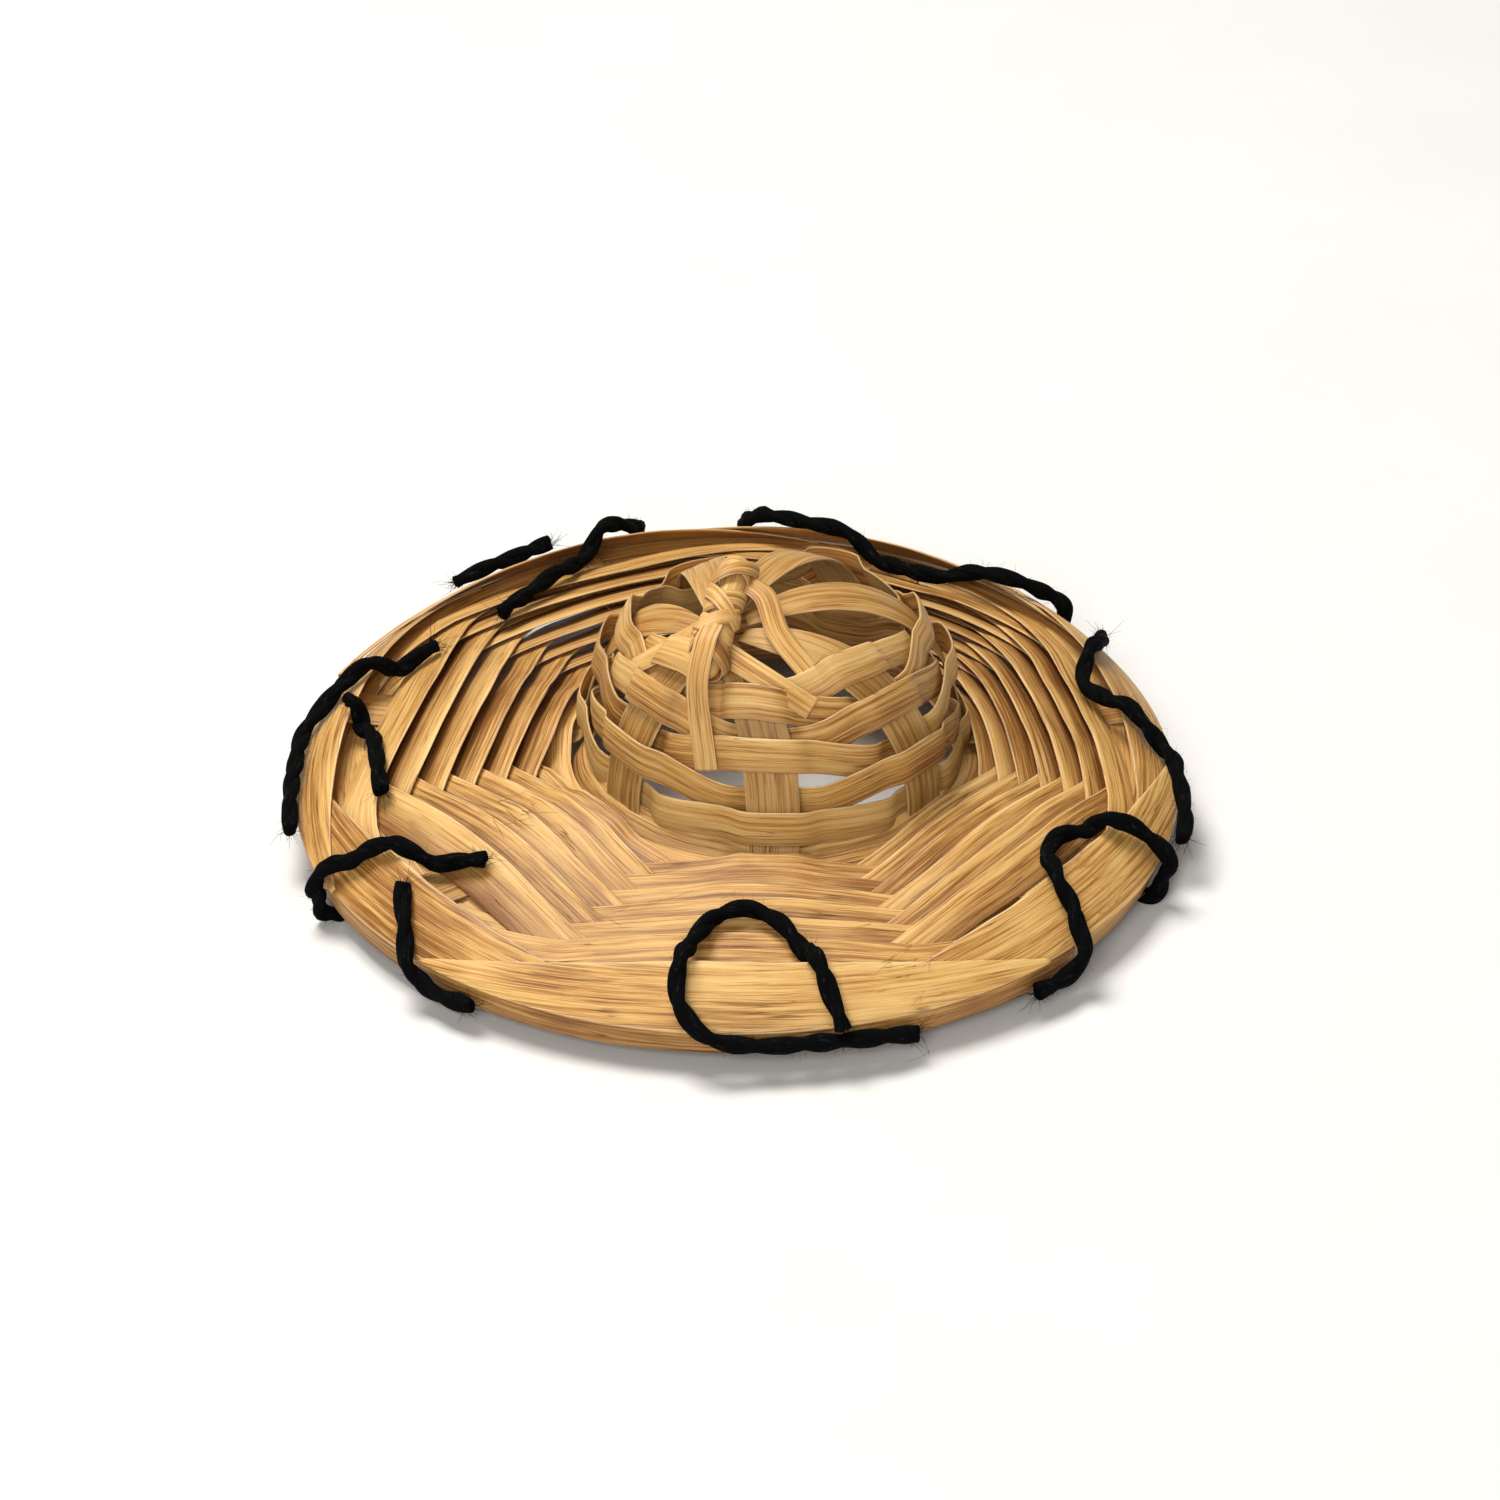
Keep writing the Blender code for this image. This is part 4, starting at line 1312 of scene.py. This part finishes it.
@dataclass
class Plaiting:
    """The model's own splints, for whatever rests on them.

    Attributes:
        near: How near counts as touching.
        passes: The most steps that a search takes.
    """

    near: float = 0.000006
    passes: int = 60
    surface: BVHTree = field(init=False)

    def __post_init__(self) -> None:
        """Gathers the faces of every splint."""
        points: list[Vector] = []
        faces: list[list[int]] = []
        for name in sorted(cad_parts):
            if name.startswith("lashing"):
                continue
            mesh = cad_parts[name].data
            faces += [[len(points) + corner for corner in face.vertices] for face in mesh.polygons]
            points += [vertex.co.copy() for vertex in mesh.vertices]
        self.surface = BVHTree.FromPolygons(points, faces)

    def approach(self, point: Points, way: Points, reach: float) -> Points:
        """Moves a point until it is near the plaiting.

        Args:
            point: The point.
            way: The direction that it moves in.
            reach: How near it comes.

        Returns:
            Where it ends.
        """
        for _ in range(self.passes):
            gap = self.surface.find_nearest(Vector(point))[3] - reach
            if gap < self.near:
                break
            point = point + way * gap
        return point

    def pushed_clear(self, point: Points, reach: float, lowest: float) -> Points:
        """Moves a point off the plaiting.

        Args:
            point: The point.
            reach: How near it may be.
            lowest: How low it may be.

        Returns:
            Where it ends.
        """
        for _ in range(self.passes):
            nearest, _, _, distance = self.surface.find_nearest(Vector(point))
            if distance >= reach:
                break
            nearest = np.array(nearest)
            point = nearest + unit(np.array(point) - nearest) * (reach + self.near)
            point[2] = max(point[2], lowest)
        return point


@dataclass(frozen=True)
class Hair:
    """One loose fibre.

    Attributes:
        root: Where it starts.
        way: The direction that it starts in.
        length: How long it is.
        curl: How far its tip is bent aside, and which way.
        radius: Its radius at its root.
    """

    root: Points
    way: Points
    length: float
    curl: Points
    radius: float

    def mesh(self) -> bpy.types.Mesh:
        """Builds it, tapering to its tip and never under the ground."""
        u = np.linspace(0, 1, 8)[:, None]
        points = self.root + self.way * self.length * u + self.curl * u**2
        points[:, 2] = np.maximum(points[:, 2], self.radius)
        return tube_mesh("hair", points, self.radius * (1 - 0.6 * u[:, 0]), 4)


@dataclass
class Lashings:
    """Twisted black threads that bind the rim.

    Attributes:
        twist_length: How far along a thread its plies take to go once round.
        hairs_per_length: How many fine hairs a metre of it has.
        fuzz_reach: How long they are.
        end_hairs: How many longer hairs each cut end has.
        end_reach: How long these are.
        end_spread: How far they scatter from the thread's own way.
    """

    form: HatForm
    finish: bpy.types.Material
    plaiting: Plaiting
    radius: float = 0.00055
    ground_height: float = 0.00043
    clearance: float = 0.00012
    facing_top: float = 0.0050
    plies: int = 2
    ply_radius: float = 0.00036
    ply_offset: float = 0.00015
    twist_length: float = 0.0048
    route_spacing: float = 0.0006
    spacing: float = 0.00016
    unevenness: float = 0.05
    hairs_per_length: float = 9000
    fuzz_reach: Span = (0.00015, 0.0005)
    fuzz_radius: float = 0.000007
    end_hairs: int = 26
    end_reach: Span = (0.0004, 0.0013)
    end_radius: float = 0.000016
    end_spread: float = 0.45

    def stop(self, bearing: float, lie: Lie, share: float) -> Points:
        """Finds where a thread's middle is at a stop of its route.

        Args:
            bearing: The stop's bearing round the hat, in degrees.
            lie: How the thread lies there.
            share: How far out or how high it is.

        Returns:
            The place.
        """
        angle = math.radians(bearing)
        reach = self.radius + self.clearance
        rim = self.form.rim_radius
        if lie is Lie.UNDER:
            return polar(rim * share, angle, self.ground_height)
        if lie is Lie.OVER:
            above = polar(rim * share, angle, 2 * self.facing_top)
            return self.plaiting.approach(above, -UP, reach)
        height = self.facing_top * share + self.form.back_rise(rim, angle)
        return self.plaiting.approach(polar(rim * 1.2, angle, height), polar(-1, angle, 0), reach)

    def line(self, route: Route) -> Points:
        """Lays a thread along a route, resting on the plaiting and clear of it.

        Args:
            route: The route's stops.

        Returns:
            The points of its middle line.
        """
        points = smooth_route([self.stop(*stop) for stop in route], self.route_spacing)
        reach = self.radius + self.clearance
        clear = [self.plaiting.pushed_clear(point, reach, self.ground_height) for point in points]
        return smooth_route(clear, self.spacing)

    def thread(self, name: str, line: Points, seed: int) -> None:
        """Builds one thread as plies twisted round its middle line.

        Args:
            name: The node that it replaces.
            line: The points of its middle line.
            seed: Picks its irregularities and its hairs.
        """
        first, second = carried_frame(line)
        run = run_along(line)
        meshes = []
        swell = 1 + Wander(seed, self.unevenness, 0.004).at(run)
        for ply in range(self.plies):
            turn = TAU * (run / self.twist_length + ply / self.plies) + Wander(seed + 7, 0.5, 0.01).at(run)
            offset = first * np.cos(turn)[:, None] + second * np.sin(turn)[:, None]
            path = line + offset * (self.ply_offset * swell)[:, None]
            path[:, 2] = np.maximum(path[:, 2], self.ply_radius * 0.6)
            mesh = tube_mesh(f"{name}_{ply}", path, self.ply_radius * swell, 10, seed + ply)
            flat = coordinates(mesh)
            flat[:, 2] = np.maximum(flat[:, 2], 0)
            mesh.vertices.foreach_set("co", flat.ravel())
            meshes.append(mesh)
        meshes += [hair.mesh() for hair in self.fuzz(line, seed)]
        add_piece(name + "_thread", joined(name, meshes), self.finish, [name])

    def fuzz(self, line: Points, seed: int) -> list[Hair]:
        """Picks the fine hairs along a thread, and the longer ones at its two cut ends.

        Args:
            line: The points of the thread's middle line.
            seed: Picks them.

        Returns:
            The hairs.
        """
        random = np.random.default_rng(seed)
        hairs = []
        for _ in range(round(run_along(line)[-1] * self.hairs_per_length)):
            place = random.integers(1, len(line) - 1)
            along = unit(line[place + 1] - line[place - 1])
            off = random.normal(size=3)
            off = unit(off - along * (off @ along))
            way = unit(off + along * random.uniform(-1.5, 1.5))
            root = line[place] + off * self.radius * 0.85
            reach = random.uniform(*self.fuzz_reach)
            curl = unit(random.normal(size=3)) * reach * 0.5
            hairs.append(Hair(root, way, reach, curl, self.fuzz_radius))
        for end, inner in ((0, 4), (-1, -5)):
            out = unit(line[end] - line[inner])
            for _ in range(self.end_hairs):
                way = unit(out + random.normal(size=3) * self.end_spread)
                root = line[end] + random.normal(size=3) * self.radius * 0.3 - out * self.radius * 0.4
                reach = random.uniform(*self.end_reach)
                curl = unit(random.normal(size=3)) * reach * 0.7
                hairs.append(Hair(root, way, reach, curl, self.end_radius))
        return hairs

    def build(self) -> None:
        """Builds the threads."""
        for i, (name, route) in enumerate(LASHING_ROUTES.items()):
            self.thread(f"lashing_{name}", self.line(route), 200 + 10 * i)


@dataclass
class Fray:
    """Straw fibres that have peeled off the splints' edges, and the tufts where a splint has torn.

    Attributes:
        peeled_reach: How far a peeled fibre runs, in stakes.
        peeled_lift: How far its tip stands up.
        peeled_aside: How far its tip is off its splint's edge.
        tufts: For each, its bearing in degrees, its distance from the middle as a share of the rim's
            radius, how far its fibres are scattered, the way that they run in degrees, and their number.
    """

    weave: Weave
    plaiting: Plaiting
    finish: bpy.types.Material
    brim_fibres: int = 70
    crown_fibres: int = 45
    radius: float = 0.000016
    fibre_rows: int = 10
    peeled_reach: Span = (0.06, 0.3)
    peeled_lift: Span = (0.00005, 0.0005)
    peeled_aside: Span = (0, 0.0006)
    tuft_height: float = 0.009
    tuft_spread: float = 28
    tuft_rise: Span = (0.02, 0.3)
    tuft_length: Span = (0.0008, 0.0026)
    tufts: tuple[tuple[float, float, float, float, int], ...] = (
        (293.6, 0.915, 0.0022, 200.0, 26), (213.0, 0.60, 0.0018, 330.0, 20), (326.0, 0.97, 0.0016, 60.0, 14)
    )

    def peeled(
        self, row_at: Callable[[float], Row], start: float, random: np.random.Generator
    ) -> bpy.types.Mesh:
        """Builds a fibre that has come off the inner edge of a turn.

        Args:
            row_at: Finds the turn's row at a number of stakes along the weaving.
            start: Where the fibre starts.
            random: Picks its shape.

        Returns:
            The mesh.
        """
        reach = random.uniform(*self.peeled_reach)
        lift, aside = random.uniform(*self.peeled_lift), random.uniform(*self.peeled_aside)
        points = []
        shares = np.linspace(0, 1, self.fibre_rows)
        for u in shares:
            row = row_at(start + reach * u)
            edge = row.middle - row.way * row.width / 2
            points.append(edge + row.normal * lift * u**1.6 - row.way * aside * u**2)
        radii = self.radius * random.uniform(0.7, 1.6) * (1 - 0.6 * shares)
        return tube_mesh("fibre", np.array(points), radii, 4)

    def tuft(
        self, bearing: float, share: float, spread: float, heading: float, count: int
    ) -> list[bpy.types.Mesh]:
        """Builds the fibres of one torn place.

        Args:
            bearing: Where it is round the hat, in degrees.
            share: Its distance from the middle, as a share of the rim's radius.
            spread: How far its fibres are scattered.
            heading: The way that they mostly run, in degrees.
            count: How many there are.

        Returns:
            Their meshes.
        """
        random = np.random.default_rng(round(bearing))
        rim = self.weave.form.rim_radius
        made = []
        for _ in range(count):
            above = polar(rim * share, math.radians(bearing), self.tuft_height)
            above[:2] += random.normal(size=2) * spread / 2
            root = self.plaiting.approach(above, -UP, self.radius)
            angle = math.radians(heading + random.normal() * self.tuft_spread)
            way = unit(polar(1, angle, random.uniform(*self.tuft_rise)))
            length = random.uniform(*self.tuft_length)
            curl = unit(random.normal(size=3)) * length * 0.25
            made.append(Hair(root, way, length, curl, self.radius * random.uniform(0.7, 1.5)).mesh())
        return made

    def build(self) -> None:
        """Builds every loose fibre."""
        random = np.random.default_rng(17)
        meshes = []
        for _ in range(self.brim_fibres):
            start = random.uniform(3, self.weave.brim_spans - 2)
            meshes.append(self.peeled(self.weave.brim_row, start, random))
        for _ in range(self.crown_fibres):
            meshes.append(self.peeled(self.weave.crown_row, -random.uniform(13, 50), random))
        for tuft in self.tufts:
            meshes += self.tuft(*tuft)
        add_piece("loose_fibres", joined("loose_fibres", meshes), self.finish)


# ---------------------------------------------------------------- the studio
@dataclass(frozen=True)
class Lamp:
    """A square soft light that faces the hat."""

    name: str
    place: Spot
    size: float
    power: float
    tint: Colour

    def build(self) -> None:
        """Adds the light."""
        data = bpy.data.lights.new(self.name, "AREA")
        data.size = self.size
        data.energy = self.power
        data.color = self.tint
        lamp = bpy.data.objects.new(self.name, data)
        bpy.context.scene.collection.objects.link(lamp)
        lamp.location = self.place
        lamp.rotation_mode = "QUATERNION"
        lamp.rotation_quaternion = (-Vector(self.place)).to_track_quat("-Z", "Y")


@dataclass(frozen=True)
class Studio:
    """A pale floor, soft light from above and a camera a little above the brim."""

    target: Spot = (0.000797, -0.000599, 0.0047)
    distance: float = 0.260
    elevation: float = math.radians(32.031)
    lens: float = 109.47
    sensor: float = 36.0
    floor_size: float = 3.0
    floor_mottle: float = 60
    floor_dark: Colour = (0.755, 0.742, 0.715)
    floor_light: Colour = (0.78, 0.77, 0.75)
    lamps: tuple[Lamp, ...] = (
        Lamp("key", (-0.12, 0.10, 0.40), 0.20, 2.05, (1.0, 0.985, 0.955)),
        Lamp("fill", (-0.06, -0.40, 0.26), 0.20, 1.2, (1.0, 0.99, 0.97)),
    )
    air_tint: Colour = (1.0, 0.99, 0.97)
    air_strength: float = 0.2

    def camera(self) -> None:
        """Adds the camera."""
        data = bpy.data.cameras.new("camera")
        data.lens = self.lens
        data.sensor_width = self.sensor
        data.clip_start = 0.01
        data.clip_end = 10
        camera = bpy.data.objects.new("camera", data)
        bpy.context.scene.collection.objects.link(camera)
        back = Vector((0, -math.cos(self.elevation), math.sin(self.elevation)))
        camera.location = Vector(self.target) + back * self.distance
        camera.rotation_mode = "QUATERNION"
        camera.rotation_quaternion = (-back).to_track_quat("-Z", "Y")
        bpy.context.scene.camera = camera

    def floor(self) -> None:
        """Adds the floor."""
        bm = bmesh.new()
        bmesh.ops.create_grid(bm, x_segments=1, y_segments=1, size=self.floor_size / 2)
        mesh = bpy.data.meshes.new("floor")
        bm.to_mesh(mesh)
        bm.free()
        made = bpy.data.materials.new("pale_floor")
        made.use_nodes = True
        nodes = NodeTree(made.node_tree)
        shader = made.node_tree.nodes["Principled BSDF"]
        place = nodes.add("TexCoord").outputs["Object"]
        mapped = nodes.add("Mapping", {0: place, 3: (self.floor_mottle,) * 3}).outputs[0]
        mottle = nodes.add("TexNoise", {0: mapped, 2: 1.0, 3: 4.0, 4: 0.6}).outputs[0]
        mix = nodes.spread(mottle, (0.3, 0.7))
        colour = nodes.blend(mix, (*self.floor_dark, 1), (*self.floor_light, 1))
        nodes.tree.links.new(colour, shader.inputs["Base Color"])
        shader.inputs["Roughness"].default_value = 0.9
        shader.inputs["Specular IOR Level"].default_value = 0.1
        mesh.materials.append(made)
        floor = bpy.data.objects.new("floor", mesh)
        bpy.context.scene.collection.objects.link(floor)

    def air(self) -> None:
        """Adds the light that comes from all round."""
        world = bpy.data.worlds.new("studio_air")
        world.use_nodes = True
        sky = world.node_tree.nodes["Background"]
        sky.inputs["Color"].default_value = (*self.air_tint, 1)
        sky.inputs["Strength"].default_value = self.air_strength
        bpy.context.scene.world = world

    def build(self) -> None:
        """Sets up the studio."""
        self.camera()
        self.floor()
        for lamp in self.lamps:
            lamp.build()
        self.air()
        bpy.context.scene.view_settings.view_transform = "Standard"


def main() -> None:
    """Builds the hat and its studio."""
    logging.basicConfig(level=logging.INFO, format="%(name)s %(message)s")
    Studio().build()
    form = HatForm()
    grain = StrawGrain().group()
    straw = StrawFinish("golden_straw").material(grain)
    stake_colours = (0.74, 0.48, 0.18), (0.56, 0.30, 0.075), (0.29, 0.115, 0.02)
    stake_straw = StrawFinish("stake_straw", *stake_colours).material(grain)
    thread = ThreadFinish("black_thread").material()
    plaiting = Plaiting()
    weave = Weave(form, straw)
    for part in (
        Stakes(form, stake_straw), weave, Rim(form, straw), Knot(form, stake_straw, straw),
        Lashings(form, thread, plaiting), Fray(weave, plaiting, straw),
    ):
        part.build()
        log.info("%s built", type(part).__name__)


if __name__ == "__main__":
    main()
